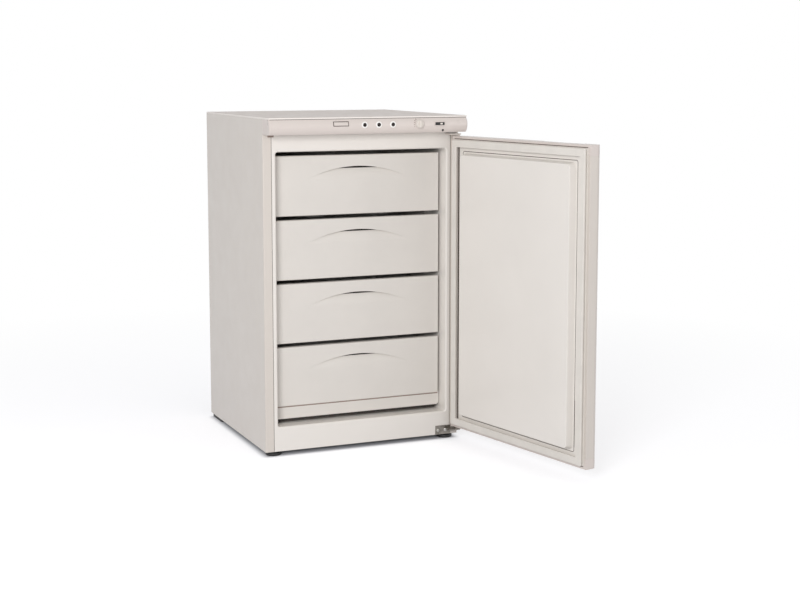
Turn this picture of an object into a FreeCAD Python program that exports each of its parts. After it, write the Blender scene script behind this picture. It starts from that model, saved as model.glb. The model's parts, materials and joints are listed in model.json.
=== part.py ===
import FreeCAD, Part
import math
import os

# Upright drawer freezer, door open, millimetres.
# Origin: on the floor under the middle of the cabinet's back edge; +X right, +Y back, +Z up.

# Driving sizes
WIDTH = 530.0              # over the side panels
HEIGHT = 850.0             # floor to the worktop's top
DEPTH = 485.0              # back edge to the front frame
STAND = 12.0               # floor to the cabinet's lower edge
OVERHANG = 50.0            # worktop past the front frame
DOOR_REST = 101.0          # angle that the door stands open

# Sheet and wall thicknesses
SHEET = 1.0
WALL = 2.5                 # thermoformed liner
SHELL = 2.5                # moulded fascia and drawer fronts
BEND = 2.5                 # outer bend radius of the folded steel

# Front frame
FRAME_SIDE = 34.0          # cabinet side to the opening
FRAME_LOW = 62.0           # lower front rail
FRAME_TOP = 86.0           # worktop to the opening
STEEL_FLANGE = 22.0        # folded front edge of a side panel
REAR_FLANGE = 15.0
SEAM = 1.0                 # between steel flange and liner flange
TUCK = 6.0                 # liner's edge behind the steel flange
LIP_BEVEL = 3.0
CORNER = 6.0               # corner radius of the opening
LINER_FLANGE = 3.0

# Cold space and machine room
BACK_FOAM = 52.0
ROOM_DEPTH = 175.0
ROOM_FOAM = 36.0
STEP_CLEAR = 12.0          # lowest shelf over the step's top

# Worktop and control fascia
TOP_SKIN = 4.0
TOP_EDGE = 1.8
FASCIA_HEIGHT = 38.0
FASCIA_BULGE = 8.0         # the middle of its front past its edges
FASCIA_SET = 1.0           # its edges behind the worktop's nose
FASCIA_BEVEL = 3.5         # at its two ends
LINER_PAST = 14.0          # liner's flange up behind the fascia
TOP_PANEL_DROP = 45.0      # worktop's top to the top panel's underside
RIB = 2.5

# Drawers
DRAWERS = 4
RECESS = 35.0              # drawer fronts behind the front frame
SIDE_GAP = 5.0
FRONT_GAP = 10.0           # between one front and the next
TOP_GAP = 12.0
SKIRT = 32.0               # lower strip of the bottom drawer
SKIRT_GAP = 11.0
SKIRT_SET = 4.0            # the strip behind the face
SKIRT_OUT = 3.0            # the strip's ends past the face
SKIRT_CORNER = 8.0
FRONT_DEPTH = 16.0
FRONT_ROUND = 3.0
SCOOP_RADIUS = 320.0       # arch of the grip's upper edge
SCOOP_DROP = 29.0          # front's top edge to the arch's crown
SCOOP_HEIGHT = 36.0
SCOOP_DEPTH = 11.0
BASKET_WALL = 2.0
BASKET_IN = 20.0           # basket's side inside the front's edge
BASKET_TAPER = 4.0
BASKET_CORNER = 14.0
BASKET_RIM = 6.0
BASKET_DROP = 18.0         # front's top edge to the rim
RUNNER = 1.6               # height of the runners under a basket
RUNNER_HALF = 3.0
RUNNER_OUT = 0.55          # share of the basket's half width
SLOT_OUT = 0.25
SLOT_ROWS = 3
SLOT_LENGTH = 60.0
SLOT_WIDTH = 8.0
BACK_CLEAR = 12.0

# Wire shelves that cool and carry the drawers
TUBE = 4.0                 # tube radius
WIRE = 1.25                # wire radius
WELD = 0.2                 # wire sunk into the tube
PASSES = 4
PASS_REACH = 0.6           # share of the opening's half width
SHELF_WIRES = 11
SHELF_CLEAR = 2.0          # top of the wires under the front's lower edge
SHELF_SET = 60.0           # shelf's front behind the drawer fronts
RAIL_WIDTH = 17.0
RAIL_HEIGHT = 7.0
FLOOR_RIB = 9.0            # height of the ribs under the lowest basket

# Door
DOOR_LOW = 36.0
DOOR_GAP = 12.0            # under the fascia
DOOR_THICK = 36.0
RIM = 11.0                 # front frame to the door's rim when closed
EDGE_ROUND = 16.0
CAP = 25.0                 # height of the moulded end caps
RIM_FLANGE = 8.0
DOOR_LINER = 2.0
PLATEAU = 17.0             # raised panel past the rim
PLATEAU_SIDE = 53.0
PLATEAU_LOW = 43.0
PLATEAU_TOP = 46.0
PLATEAU_DRAFT = 5.0
PLATEAU_CORNER = 9.0
GASKET_IN = 9.0
GASKET_WIDTH = 18.0
GASKET_HEAD = 5.0
GASKET_NECK = 4.0          # head wider than the neck, each side
SEAL_GAP = 0.5
MAGNET_WIDTH = 8.0
MAGNET_THICK = 2.0
GRIP_LENGTH = 150.0
GRIP_ROUND = 11.0

# Hinges
PIVOT_IN = 10.0            # pivot inside the cabinet's side
PIVOT_OUT = 22.0           # pivot in front of the frame
PIN = 4.0
PIN_PLAY = 0.05
PIN_REACH = 20.0
PLATE = 3.0
HINGE_PLATE_WIDTH = 42.0
HINGE_PLATE_HEIGHT = 23.0
EYE = 9.0
ARM_DROP = 5.0             # door's lower edge to the arm
ARM_THICK = 4.0
ARM_WIDTH = 26.0
UPPER_RISE = 4.0           # door's upper edge to the upper hinge
UPPER_LEG = 36.0
UPPER_IN = 27.0
UPPER_OUT = 5.0

# Controls
CONTROL_Z = 20.0           # below the worktop's top
LAMP_IN = 283.0            # first lamp from the fascia's right end
LAMP_PITCH = 38.0
LAMP_RADIUS = 4.0
KNOB_IN = 135.0            # dial from the fascia's right end
KNOB_RADIUS = 11.0
KNOB_DISC = 5.0
KNOB_GRIP = 4.0            # grip bar's height on the dial
GRIP_BAR = 6.0
GRIP_END = 2.0             # dial's edge to the end of the bar
KNOB_BEVEL = 1.0
PAD_RADIUS = 8.0
PAD_RISE = 0.5             # pad's face past the fascia's crown
NECK_RADIUS = 5.0
SHAFT = 3.0
SHAFT_LENGTH = 16.0
THERMOSTAT = 36.0          # width of the switch block
THERMOSTAT_HEIGHT = 28.0
THERMOSTAT_DEPTH = 22.0
SWITCH_IN = 79.0
SWITCH_WIDTH = 30.0
SWITCH_HEIGHT = 12.0
ROCKER_WIDTH = 24.0
ROCKER_HEIGHT = 7.0
ROCKER_TILT = 8.0
ROCKER_HOLLOW = 1.3        # ridge behind the rocker's tips
ROCKER_PROUD = 5.5         # rocker's tips in front of its axis
ROCKER_SET = 3.5           # its axis behind the fascia's crown
SWITCH_RIM = 1.2
SWITCH_DEPTH = 14.0
LENS_PROUD = 2.0
LENS_STEM = 12.0
PLUG_IN = 69.0
PLUG_UP = 5.5              # above the fascia's lower edge
PLUG_RADIUS = 3.0
PLUG_SET = 3.0
PLUG_LENGTH = 8.0
PLAY = 0.4                 # running clearance of the controls

# Feet
FOOT_RADIUS = 20.0
FOOT_PAD = 9.0             # height of the turned pad
FOOT_BEVEL = 2.0
FOOT_IN = 27.0             # foot axis inside the cabinet's side
FOOT_BACK = 22.0           # foot axis behind the front frame
STUD = 5.0
STUD_REACH = 10.0
NUT_HEIGHT = 12.0
SKID_DEPTH = 80.0
SKID_IN = 6.0

# Cooling set on the back
COIL_PASSES = 10
COIL_TUBE = 3.0
COIL_WIRES = 18
COIL_STAND = 16.0          # back panel to the tube's axis
COIL_SIDE = 60.0
COIL_LOW = 250.0
COIL_TOP = 80.0            # worktop's top to the highest pass
COMPRESSOR_RADIUS = 68.0
COMPRESSOR_HEIGHT = 143.0
COMPRESSOR_X = 80.0
POT_SIDES = 24
POT_SEAM = 0.54            # share of the pot's height
POT_SHAPE = [              # shares of the pot's height and radius, from its base up
    (0, 0.62), (0.06, 0.87), (0.2, 1), (0.72, 1), (0.87, 0.88), (0.96, 0.62), (1, 0.25),
]
PORT_HEIGHT = 80.0         # lines leave the pot above its tray
TRAY = 2.0
TRAY_LIP = 14.0
BUSH_RADIUS = 11.0
BUSH_HEIGHT = 14.0
FOOT_PLATE_LENGTH = 190.0
FOOT_PLATE_WIDTH = 126.0
FOOT_PLATE_CORNER = 14.0
RELAY_LENGTH = 46.0
RELAY_WIDTH = 48.0
RELAY_HEIGHT = 52.0
RELAY_LOW = 40.0           # above the tray
RELAY_SUNK = 8.0
GLAND_RADIUS = 6.0
GLAND_LENGTH = 8.0
WIRE_IN = 24.0             # outer wires inside the coil's bends
WIRE_PAST = 10.0
CLIP = 17.0
CLIP_IN = 50.0
RISER_OUT = 35.0           # riser beside the coil's end
DRIER_OUT = 15.0
DRIER_DROP = 25.0
DRIER_RADIUS = 9.0
DRIER_LENGTH = 90.0
CAPILLARY = 1.5
LINE_BEND = 10.0
SUCTION_OUT = 25.0         # suction line's riser from the pot's side

# Worked-out places
V = FreeCAD.Vector
X, Y, Z = V(1, 0, 0), V(0, 1, 0), V(0, 0, 1)
HALF = WIDTH / 2
FRONT = -DEPTH
SIDE_TOP = HEIGHT - TOP_SKIN
OPEN_HALF = HALF - FRAME_SIDE
OPEN_LOW = STAND + FRAME_LOW
OPEN_TOP = HEIGHT - FRAME_TOP
CAVITY_BACK = -SHEET - BACK_FOAM - WALL
STEP_Y = -ROOM_DEPTH - SHEET - ROOM_FOAM - WALL
FLANGE_X = HALF - STEEL_FLANGE
LINER_X = FLANGE_X - SEAM
TOP_PANEL = HEIGHT - TOP_PANEL_DROP
FASCIA_LOW = SIDE_TOP - FASCIA_HEIGHT
FASCIA_EDGE = FRONT - OVERHANG + FASCIA_SET
FASCIA_FACE = FASCIA_EDGE - FASCIA_BULGE
LINER_TOP = FASCIA_LOW + LINER_PAST
LOWEST = OPEN_LOW + SKIRT_GAP + SKIRT
PITCH = (OPEN_TOP - TOP_GAP - LOWEST + FRONT_GAP) / DRAWERS
FRONT_HEIGHT = PITCH - FRONT_GAP
STEP_Z = LOWEST + PITCH - SHELF_CLEAR - 2 * WIRE - 2 * TUBE - STEP_CLEAR
ROOM_TOP = STEP_Z - WALL - ROOM_FOAM - SHEET
DRAWER_HALF = OPEN_HALF - SIDE_GAP
DRAWER_FACE = FRONT + RECESS
DRAWER_BACK = DRAWER_FACE + FRONT_DEPTH
DOOR_HIGH = FASCIA_LOW - DOOR_GAP
DOOR_RIM = FRONT - RIM
DOOR_FACE = DOOR_RIM - DOOR_THICK
PIVOT = V(HALF - PIVOT_IN, FRONT - PIVOT_OUT, 0)
CONTROLS = HEIGHT - CONTROL_Z
LAMP_X = HALF - LAMP_IN
KNOB_X = HALF - KNOB_IN
SWITCH_X = HALF - SWITCH_IN
PLUG_X = HALF - PLUG_IN
PAD_FACE = FASCIA_FACE - PAD_RISE
PAD_DEPTH = PAD_RISE + FASCIA_BULGE + SHELL
SEAT_FACE = FASCIA_FACE - PAD_RISE / 2
PLUG_Z = FASCIA_LOW + PLUG_UP
COIL_HIGH = HEIGHT - COIL_TOP


def box(x0, x1, y0, y1, z0, z1):
    return Part.makeBox(x1 - x0, y1 - y0, z1 - z0, V(x0, y0, z0))


def rod(start, axis, length, radius):
    return Part.makeCylinder(radius, length, start, axis)


def mirrored(shape):
    return shape.mirror(V(0, 0, 0), X)


def rounded(shape, axis, radius, keep):
    """Fillet the straight edges along an axis whose middle passes keep."""
    edges = []
    for edge in shape.Edges:
        if not isinstance(edge.Curve, Part.Line):
            continue
        run = edge.Vertexes[1].Point - edge.Vertexes[0].Point
        if abs(run.dot(axis)) > 0.999 * run.Length and keep(edge.CenterOfMass):
            edges.append(edge)
    return shape.makeFillet(radius, edges)


def near(a, b):
    return abs(a - b) < 0.01


def prism_x(points, x0, x1):
    """A closed outline of (y, z) points, pushed along X."""
    corners = [V(x0, y, z) for y, z in points]
    outline = Part.makePolygon(corners + corners[:1])
    return Part.Face(outline).extrude(V(x1 - x0, 0, 0))


def round_loop(a0, a1, b0, b1, radius, place):
    """A rectangle with round corners; place turns (a, b) into a point."""
    k = radius * (1 - math.sqrt(0.5))
    runs = [
        ((a0 + radius, b0), (a1 - radius, b0), (a1 - k, b0 + k)),
        ((a1, b0 + radius), (a1, b1 - radius), (a1 - k, b1 - k)),
        ((a1 - radius, b1), (a0 + radius, b1), (a0 + k, b1 - k)),
        ((a0, b1 - radius), (a0, b0 + radius), (a0 + k, b0 + k)),
    ]
    edges = []
    for n, (start, end, middle) in enumerate(runs):
        following = runs[(n + 1) % 4][0]
        edges.append(Part.makeLine(place(*start), place(*end)))
        edges.append(Part.Arc(place(*end), place(*middle), place(*following)).toShape())
    return Part.Wire(edges)


def loop_xz(x0, x1, z0, z1, radius, y):
    return round_loop(x0, x1, z0, z1, radius, lambda a, b: V(a, y, b))


def loft(first, last):
    return Part.makeLoft([first, last], True, True)


def bent(points, bend, chords=2):
    """Points along straight runs, with each corner rounded by a few chords."""
    path = [points[0]]
    for before, corner, after in zip(points, points[1:], points[2:]):
        into, out = corner - before, after - corner
        half_turn = into.getAngle(out) / 2
        cut = min(bend * math.tan(half_turn), into.Length / 2, out.Length / 2)
        axis = into.cross(out).normalize()
        first = corner - into.normalize() * cut
        centre = first + axis.cross(into) * (cut / math.tan(half_turn))
        for n in range(chords + 1):
            swing = FreeCAD.Rotation(axis, math.degrees(2 * half_turn) * n / chords)
            point = centre + swing.multVec(first - centre)
            if (point - path[-1]).Length > 0.01:
                path.append(point)
    if (points[-1] - path[-1]).Length > 0.01:
        path.append(points[-1])
    return path


def flat(radius, sides):
    """Distance from a facetted bar's axis to its flats."""
    return radius * math.cos(math.pi / sides)


def ring(place, along, radius, sides):
    """Corners of a regular section square to a direction, with a flat on top."""
    side = along.cross(Z) if abs(along.z) < 0.9 else along.cross(X)
    side.normalize()
    up = side.cross(along)
    corners = []
    for n in range(sides):
        turn = 2 * math.pi * (n + 0.5) / sides
        corners.append(place + side * (radius * math.cos(turn)) + up * (radius * math.sin(turn)))
    return corners


def closed(corners):
    return Part.makePolygon(corners + corners[:1])


def skinned(rings):
    """A solid with flat faces from the corners of each ring to the next."""
    faces = [Part.Face(closed(rings[0])), Part.Face(closed(rings[-1]))]
    for one, other in zip(rings, rings[1:]):
        for n, corner in enumerate(one):
            faces.append(Part.Face(closed([one[n - 1], corner, other[n], other[n - 1]])))
    return Part.makeSolid(Part.makeShell(faces))


def turned(place, axis, profile, sides):
    """A turned piece with flat facets; profile is (distance along the axis, radius)."""
    return skinned([ring(place + axis * reach, axis, radius, sides) for reach, radius in profile])


def bar(start, axis, length, radius, sides=12):
    return turned(start, axis, [(0, radius), (length, radius)], sides)


def tube(points, bend, radius, sides=8):
    """A tube with flat facets and mitred joints along a bent path."""
    path = bent(points, bend)
    runs = [(last - first).normalize() for first, last in zip(path, path[1:])]
    rings = [ring(path[0], runs[0], radius, sides)]
    for n, place in enumerate(path[1:]):
        mitre = runs[n] + runs[min(n + 1, len(runs) - 1)]
        slope = runs[n].dot(mitre)
        rings.append([corner + runs[n] * ((place - corner).dot(mitre) / slope) for corner in rings[-1]])
    return skinned(rings)


def serpentine(count, low, high, across, place):
    """Corner points of a coil with count passes; place turns (along, across) into a point."""
    step = (across[1] - across[0]) / (count - 1)
    points = []
    for n in range(count):
        ends = (low, high) if n % 2 == 0 else (high, low)
        points += [place(end, across[0] + n * step) for end in ends]
    return points


# Cabinet shell

def side_panel():
    sheet = box(-HALF, -HALF + SHEET, FRONT, 0, STAND, SIDE_TOP)
    front = box(-HALF, -FLANGE_X, FRONT, FRONT + SHEET, STAND, SIDE_TOP)
    rear = box(-HALF, -HALF + REAR_FLANGE, -SHEET, 0, STAND, SIDE_TOP)
    panel = sheet.fuse([front, rear]).removeSplitter()
    panel = rounded(panel, Z, BEND, lambda p: near(p.x, -HALF) and near(p.y, FRONT))
    inner_x, inner_y = -HALF + SHEET, FRONT + SHEET
    return rounded(panel, Z, BEND - SHEET, lambda p: near(p.x, inner_x) and near(p.y, inner_y))


def back_panel():
    half = HALF - REAR_FLANGE
    return box(-half, half, -SHEET, 0, ROOM_TOP + SHEET, TOP_PANEL)


def top_panel():
    half = HALF - SHEET
    return box(-half, half, FRONT + LINER_FLANGE, -SHEET, TOP_PANEL, TOP_PANEL + SHEET)


def foot_places():
    return [V(side * (HALF - FOOT_IN), FRONT + FOOT_BACK, 0) for side in (-1, 1)]


def base_panel():
    half = HALF - SHEET
    panel = box(-half, half, FRONT + LINER_FLANGE, -ROOM_DEPTH - SHEET, STAND, STAND + SHEET)
    return panel.cut([bar(place, Z, STAND + 2 * SHEET, STUD + SHEET) for place in foot_places()])


def machine_room_panel():
    half = HALF - SHEET
    front = -ROOM_DEPTH - SHEET
    wall = box(-half, half, front, -ROOM_DEPTH, STAND, ROOM_TOP + SHEET)
    roof = box(-half, half, front, -SHEET, ROOM_TOP, ROOM_TOP + SHEET)
    return wall.fuse(roof).removeSplitter()


def cold_space(grow, front):
    """The cold space grown by a wall, with the step over the machine room."""
    half = OPEN_HALF + grow
    low, top = OPEN_LOW - grow, OPEN_TOP + grow
    back = CAVITY_BACK + grow
    step_y, step_z = STEP_Y + grow, STEP_Z - grow
    outline = [(front, low), (step_y, low), (step_y, step_z), (back, step_z), (back, top), (front, top)]
    space = prism_x(outline, -half, half)
    return rounded(space, Y, CORNER + grow, lambda p: near(p.z, low) or near(p.z, top))


def frame_blocks():
    """The liner's front flange, its edge tucked behind the steel, and the thicker lip."""
    flange = box(-LINER_X, LINER_X, FRONT, FRONT + LINER_FLANGE, STAND, LINER_TOP)
    reach = LINER_X + TUCK
    tongue = box(-reach, reach, FRONT + SHEET, FRONT + LINER_FLANGE, STAND, LINER_TOP)
    lip = LINER_X - OPEN_HALF
    edge = box(-LINER_X, LINER_X, FRONT, FRONT + lip, OPEN_LOW - lip, OPEN_TOP + lip)
    return [flange, tongue, edge]


def shelf_axis(n):
    """Height of the tubes in the shelf under drawer n."""
    return front_low(n) - SHELF_CLEAR - 2 * WIRE + WELD - flat(TUBE, 8)


def rails():
    """Side ledges that carry the ends of the shelf wires, and floor ribs for the lowest basket."""
    x = basket_half() * RUNNER_OUT
    rib = box(x - 2 * RUNNER_HALF, x + 2 * RUNNER_HALF, DRAWER_BACK + SHELF_SET, STEP_Y,
              OPEN_LOW - WALL / 2, OPEN_LOW + FLOOR_RIB)
    ledges = [rib, mirrored(rib)]
    for n in range(DRAWERS - 1):
        top = front_low(n) - SHELF_CLEAR - 2 * WIRE
        ledge = box(OPEN_HALF - RAIL_WIDTH, OPEN_HALF + WALL / 2, DRAWER_BACK + SHELF_SET - BACK_CLEAR,
                    CAVITY_BACK, top - RAIL_HEIGHT, top)
        ledges += [ledge, mirrored(ledge)]
    return ledges


def inner_liner():
    liner = cold_space(WALL, FRONT).fuse(frame_blocks()).cut(cold_space(0, FRONT - 1))
    liner = liner.removeSplitter()
    mouth = []
    for edge in liner.Edges:
        bounds = edge.BoundBox
        on_front = near(bounds.YMin, FRONT) and near(bounds.YMax, FRONT)
        if on_front and bounds.XMax < OPEN_HALF + 0.1 and bounds.XMin > -OPEN_HALF - 0.1:
            if bounds.ZMin > OPEN_LOW - 0.1 and bounds.ZMax < OPEN_TOP + 0.1:
                mouth.append(edge)
    liner = liner.makeChamfer(LIP_BEVEL, mouth)
    return liner.fuse(rails()).removeSplitter()


def foot_socket(place):
    """A nut on the base panel that the foot's stud screws into."""
    nut = bar(place + Z * (STAND + SHEET), Z, NUT_HEIGHT, 2 * STUD, 6)
    return nut.cut(bar(place, Z, STAND + SHEET + STUD_REACH + PLAY, STUD + PLAY))


def cabinet_foam():
    half = HALF - SHEET
    foam = box(-half, half, FRONT + SHEET, -SHEET, STAND + SHEET, TOP_PANEL)
    foam = rounded(foam, Z, BEND - SHEET, lambda p: near(p.y, FRONT + SHEET))
    room = box(-HALF, HALF, -ROOM_DEPTH - SHEET, 1, 0, ROOM_TOP + SHEET)
    nuts = [bar(place, Z, STAND + SHEET + NUT_HEIGHT, 2 * STUD, 6) for place in foot_places()]
    return foam.cut([cold_space(WALL, FRONT - 1), room] + frame_blocks() + nuts)


def worktop():
    nose = FRONT - OVERHANG
    skin = box(-HALF, HALF, nose, 0, SIDE_TOP, HEIGHT)
    skin = skin.makeFillet(TOP_EDGE, [e for e in skin.Edges if near(e.CenterOfMass.z, HEIGHT)])
    half = HALF - SHEET - PLAY
    front, back = FRONT + LINER_FLANGE + SHEET, -SHEET - PLAY
    low = TOP_PANEL + SHEET
    wall = box(-half, half, front, back, low, SIDE_TOP)
    wall = wall.cut(box(-half + RIB, half - RIB, front + RIB, back - RIB, low, SIDE_TOP))
    ribs = []
    for share in (1 / 3, 2 / 3):
        x = -half + 2 * half * share
        y = front + (back - front) * share
        ribs.append(box(x - RIB / 2, x + RIB / 2, front, back, low, SIDE_TOP))
        ribs.append(box(-half, half, y - RIB / 2, y + RIB / 2, low, SIDE_TOP))
    return skin.fuse([wall] + ribs).removeSplitter()


# Control fascia

def fascia_section(inset, back, top, half):
    """The fascia's profile, drawn in by inset from its front and underside."""
    low = FASCIA_LOW + inset
    middle = (FASCIA_LOW + SIDE_TOP) / 2
    lower_edge = V(-half, FASCIA_EDGE + inset, low)
    crown = V(-half, FASCIA_FACE + inset, middle)
    upper_edge = V(-half, FASCIA_EDGE + inset, SIDE_TOP)
    lower_back, upper_back = V(-half, back, low), V(-half, back, top)
    edges = [
        Part.makeLine(lower_back, lower_edge),
        Part.Arc(lower_edge, crown, upper_edge).toShape(),
    ]
    if top > SIDE_TOP:
        above = V(-half, FASCIA_EDGE + inset, top)
        edges.append(Part.makeLine(upper_edge, above))
        upper_edge = above
    edges.append(Part.makeLine(upper_edge, upper_back))
    edges.append(Part.makeLine(upper_back, lower_back))
    return Part.Face(Part.Wire(edges)).extrude(V(2 * half, 0, 0))


def lamp_places():
    return [V(LAMP_X + n * LAMP_PITCH, 0, CONTROLS) for n in range(3)]


def switch_block(inset, y0, y1):
    half_x, half_z = SWITCH_WIDTH / 2 - inset, SWITCH_HEIGHT / 2 - inset
    return box(SWITCH_X - half_x, SWITCH_X + half_x, y0, y1, CONTROLS - half_z, CONTROLS + half_z)


def control_fascia():
    """Moulded shell with a bulged front, pads for the controls and their holes."""
    shell = fascia_section(0, FRONT, SIDE_TOP, HALF)
    shell = shell.makeChamfer(FASCIA_BEVEL, [e for e in shell.Edges if isinstance(e.Curve, Part.Circle)])
    shell = shell.cut(fascia_section(SHELL, FRONT + 1, SIDE_TOP + 1, HALF - SHELL))
    knob = V(KNOB_X, PAD_FACE, CONTROLS)
    pad = bar(knob, Y, PAD_DEPTH, PAD_RADIUS, 16)
    seat = switch_block(0, SEAT_FACE, FASCIA_FACE + 2 * SHELL)
    before, through = FASCIA_FACE - SHELL, 8 * SHELL
    holes = [bar(V(place.x, before, place.z), Y, through, LAMP_RADIUS) for place in lamp_places()]
    holes.append(bar(V(KNOB_X, before, CONTROLS), Y, through, NECK_RADIUS))
    holes.append(bar(V(PLUG_X, before, PLUG_Z), Y, through, PLUG_RADIUS))
    holes.append(switch_block(SWITCH_RIM, before, before + through))
    holes.append(box(PIVOT.x - UPPER_IN - PLAY, PIVOT.x + UPPER_OUT + PLAY, FRONT - PLATE - PLAY, FRONT + 1,
                     FASCIA_LOW - 1, FASCIA_LOW + SHELL + 1))
    return shell.fuse([pad, seat]).cut(holes).removeSplitter()


def indicator_lens(place):
    """A small round lens on a stem through the fascia."""
    return bar(V(place.x, FASCIA_FACE - LENS_PROUD, place.z), Y, LENS_PROUD + LENS_STEM, LAMP_RADIUS)


def fascia_plug():
    """Blanking plug in the fascia's lower corner."""
    return bar(V(PLUG_X, FASCIA_FACE + PLUG_SET, PLUG_Z), Y, PLUG_LENGTH, PLUG_RADIUS)


def thermostat_body():
    """Switch block inside the fascia, with a neck through its wall."""
    back = PAD_FACE + PAD_DEPTH
    half = THERMOSTAT / 2
    block = box(KNOB_X - half, KNOB_X + half, back, back + THERMOSTAT_DEPTH,
                CONTROLS - THERMOSTAT_HEIGHT / 2, CONTROLS + THERMOSTAT_HEIGHT / 2)
    neck = bar(V(KNOB_X, PAD_FACE, CONTROLS), Y, PAD_DEPTH, NECK_RADIUS)
    bore = bar(V(KNOB_X, PAD_FACE - 1, CONTROLS), Y, SHAFT_LENGTH + 2, SHAFT + PLAY)
    return block.fuse(neck).cut(bore).removeSplitter()


def thermostat_knob():
    """Round dial with a grip bar, on a shaft that turns in the neck."""
    back = V(KNOB_X, PAD_FACE - PLAY, CONTROLS)
    face = back.y - KNOB_DISC
    shoulder, crown = KNOB_RADIUS - KNOB_BEVEL, KNOB_RADIUS - 2 * KNOB_BEVEL
    dial = turned(back, -Y, [(0, KNOB_RADIUS), (KNOB_DISC - KNOB_BEVEL, shoulder), (KNOB_DISC, crown)], 32)
    reach = KNOB_RADIUS - GRIP_END
    grip = box(KNOB_X - GRIP_BAR / 2, KNOB_X + GRIP_BAR / 2, face - KNOB_GRIP, face,
               CONTROLS - reach, CONTROLS + reach)
    grip = grip.makeChamfer(KNOB_BEVEL, [e for e in grip.Edges if near(e.CenterOfMass.y, face - KNOB_GRIP)])
    shaft = bar(back, Y, SHAFT_LENGTH, SHAFT)
    return dial.fuse([grip, shaft]).removeSplitter()


def switch_housing():
    """Frame and pocket that the rocker tips in."""
    face = SEAT_FACE - SWITCH_RIM
    rim = switch_block(0, face, SEAT_FACE)
    body = switch_block(SWITCH_RIM, face, SEAT_FACE + SWITCH_DEPTH)
    pocket_x = ROCKER_WIDTH / 2 + 2 * PLAY
    pocket_z = ROCKER_HEIGHT / 2 + PLAY
    pocket = box(SWITCH_X - pocket_x, SWITCH_X + pocket_x, face - 1, SEAT_FACE + SWITCH_DEPTH - SHELL,
                 CONTROLS - pocket_z, CONTROLS + pocket_z)
    return rim.fuse(body).cut(pocket).removeSplitter()


def rocker_axis():
    return V(SWITCH_X, FASCIA_FACE + ROCKER_SET, CONTROLS)


def fast_freeze_switch():
    """Rocker with a shallow ridge in the middle, tipped to one side."""
    half = ROCKER_WIDTH / 2
    tip, ridge = -ROCKER_PROUD, ROCKER_HOLLOW - ROCKER_PROUD
    keel = half / 3
    outline = [(-half, tip), (0, ridge), (half, tip), (half, 1), (keel, keel), (-keel, keel), (-half, 1)]
    axis = rocker_axis()
    corners = [axis + V(x, y, -ROCKER_HEIGHT / 2) for x, y in outline]
    rocker = Part.Face(closed(corners)).extrude(Z * ROCKER_HEIGHT)
    rocker.rotate(axis, Z, -ROCKER_TILT)
    return rocker


# Drawers and wire shelves

def front_low(n):
    """Lower edge of drawer front n, counted from the top."""
    return LOWEST + (DRAWERS - 1 - n) * PITCH


def scoop(n, grow):
    """The grip: an arched upper lip over a floor that rolls out of the face."""
    crown = front_low(n) + FRONT_HEIGHT - SCOOP_DROP
    low = crown - SCOOP_HEIGHT
    roll = (SCOOP_HEIGHT ** 2 + SCOOP_DEPTH ** 2) / (2 * SCOOP_DEPTH)
    middle = V(0, DRAWER_FACE + roll, low)
    radius = roll - grow
    rise = SCOOP_HEIGHT + grow

    def floor(height):
        return V(0, middle.y - math.sqrt(radius ** 2 - height ** 2), low + height)

    face = DRAWER_FACE + (grow / 2 if grow else -FRONT_ROUND)
    outline = Part.Wire([
        Part.makeLine(V(0, face, low), floor(0)),
        Part.Arc(floor(0), floor(rise / 2), floor(rise)).toShape(),
        Part.makeLine(floor(rise), V(0, face, low + rise)),
        Part.makeLine(V(0, face, low + rise), V(0, face, low)),
    ])
    trough = Part.Face(outline).extrude(X * 2 * DRAWER_HALF)
    trough.translate(X * -DRAWER_HALF)
    arch_front = V(0, DRAWER_FACE - FRONT_DEPTH, crown - SCOOP_RADIUS)
    arch = rod(arch_front, Y, 3 * FRONT_DEPTH, SCOOP_RADIUS + grow)
    return trough.common(arch)


def skirt_strip(n):
    """Lower strip of the bottom front, set back, with round lower corners."""
    top = front_low(n) + SHELL
    low = front_low(n) - SKIRT
    half, face = DRAWER_HALF + SKIRT_OUT, DRAWER_FACE + SKIRT_SET
    strip = box(-half, half, face, DRAWER_BACK, low, top)
    strip = rounded(strip, Y, SKIRT_CORNER, lambda p: near(p.z, low))
    inner = half - SHELL
    hollow = box(-inner, inner, face + SHELL, DRAWER_BACK + 1, low + SHELL, top - SHELL)
    hollow = rounded(hollow, Y, SKIRT_CORNER - SHELL, lambda p: near(p.z, low + SHELL))
    return strip.cut(hollow)


def drawer_front(n):
    low = front_low(n)
    high = low + FRONT_HEIGHT
    block = box(-DRAWER_HALF, DRAWER_HALF, DRAWER_FACE, DRAWER_BACK, low, high)
    block = block.makeFillet(FRONT_ROUND, [e for e in block.Edges if near(e.CenterOfMass.y, DRAWER_FACE)])
    hollow = box(-DRAWER_HALF + SHELL, DRAWER_HALF - SHELL, DRAWER_FACE + SHELL, DRAWER_BACK + 1,
                 low + SHELL, high - SHELL)
    front = block.cut(hollow).fuse(scoop(n, SHELL))
    if n == DRAWERS - 1:
        front = front.fuse(skirt_strip(n))
    return front.cut(scoop(n, 0)).removeSplitter()


def basket_floor(n):
    """Underside of basket n: over its shelf's wires, or over the liner's floor ribs."""
    if n == DRAWERS - 1:
        return OPEN_LOW + FLOOR_RIB + PLAY + RUNNER
    return front_low(n) - SHELF_CLEAR + PLAY + RUNNER


def basket_half():
    return DRAWER_HALF - BASKET_IN


def basket_back(n):
    wall = STEP_Y if n == DRAWERS - 1 else CAVITY_BACK
    return wall - BACK_CLEAR


def tray_loop(x0, x1, y0, y1, radius, z):
    """A rectangle whose corners are rounded by three chords."""
    corners = []
    for cx, cy, first in ((x1, y1, 0), (x0, y1, 90), (x0, y0, 180), (x1, y0, 270)):
        middle = V(cx - math.copysign(radius, cx), cy + (radius if first > 90 else -radius), z)
        for turn in range(first, first + 91, 30):
            angle = math.radians(turn)
            corners.append(middle + V(radius * math.cos(angle), radius * math.sin(angle), 0))
    return corners


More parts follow.
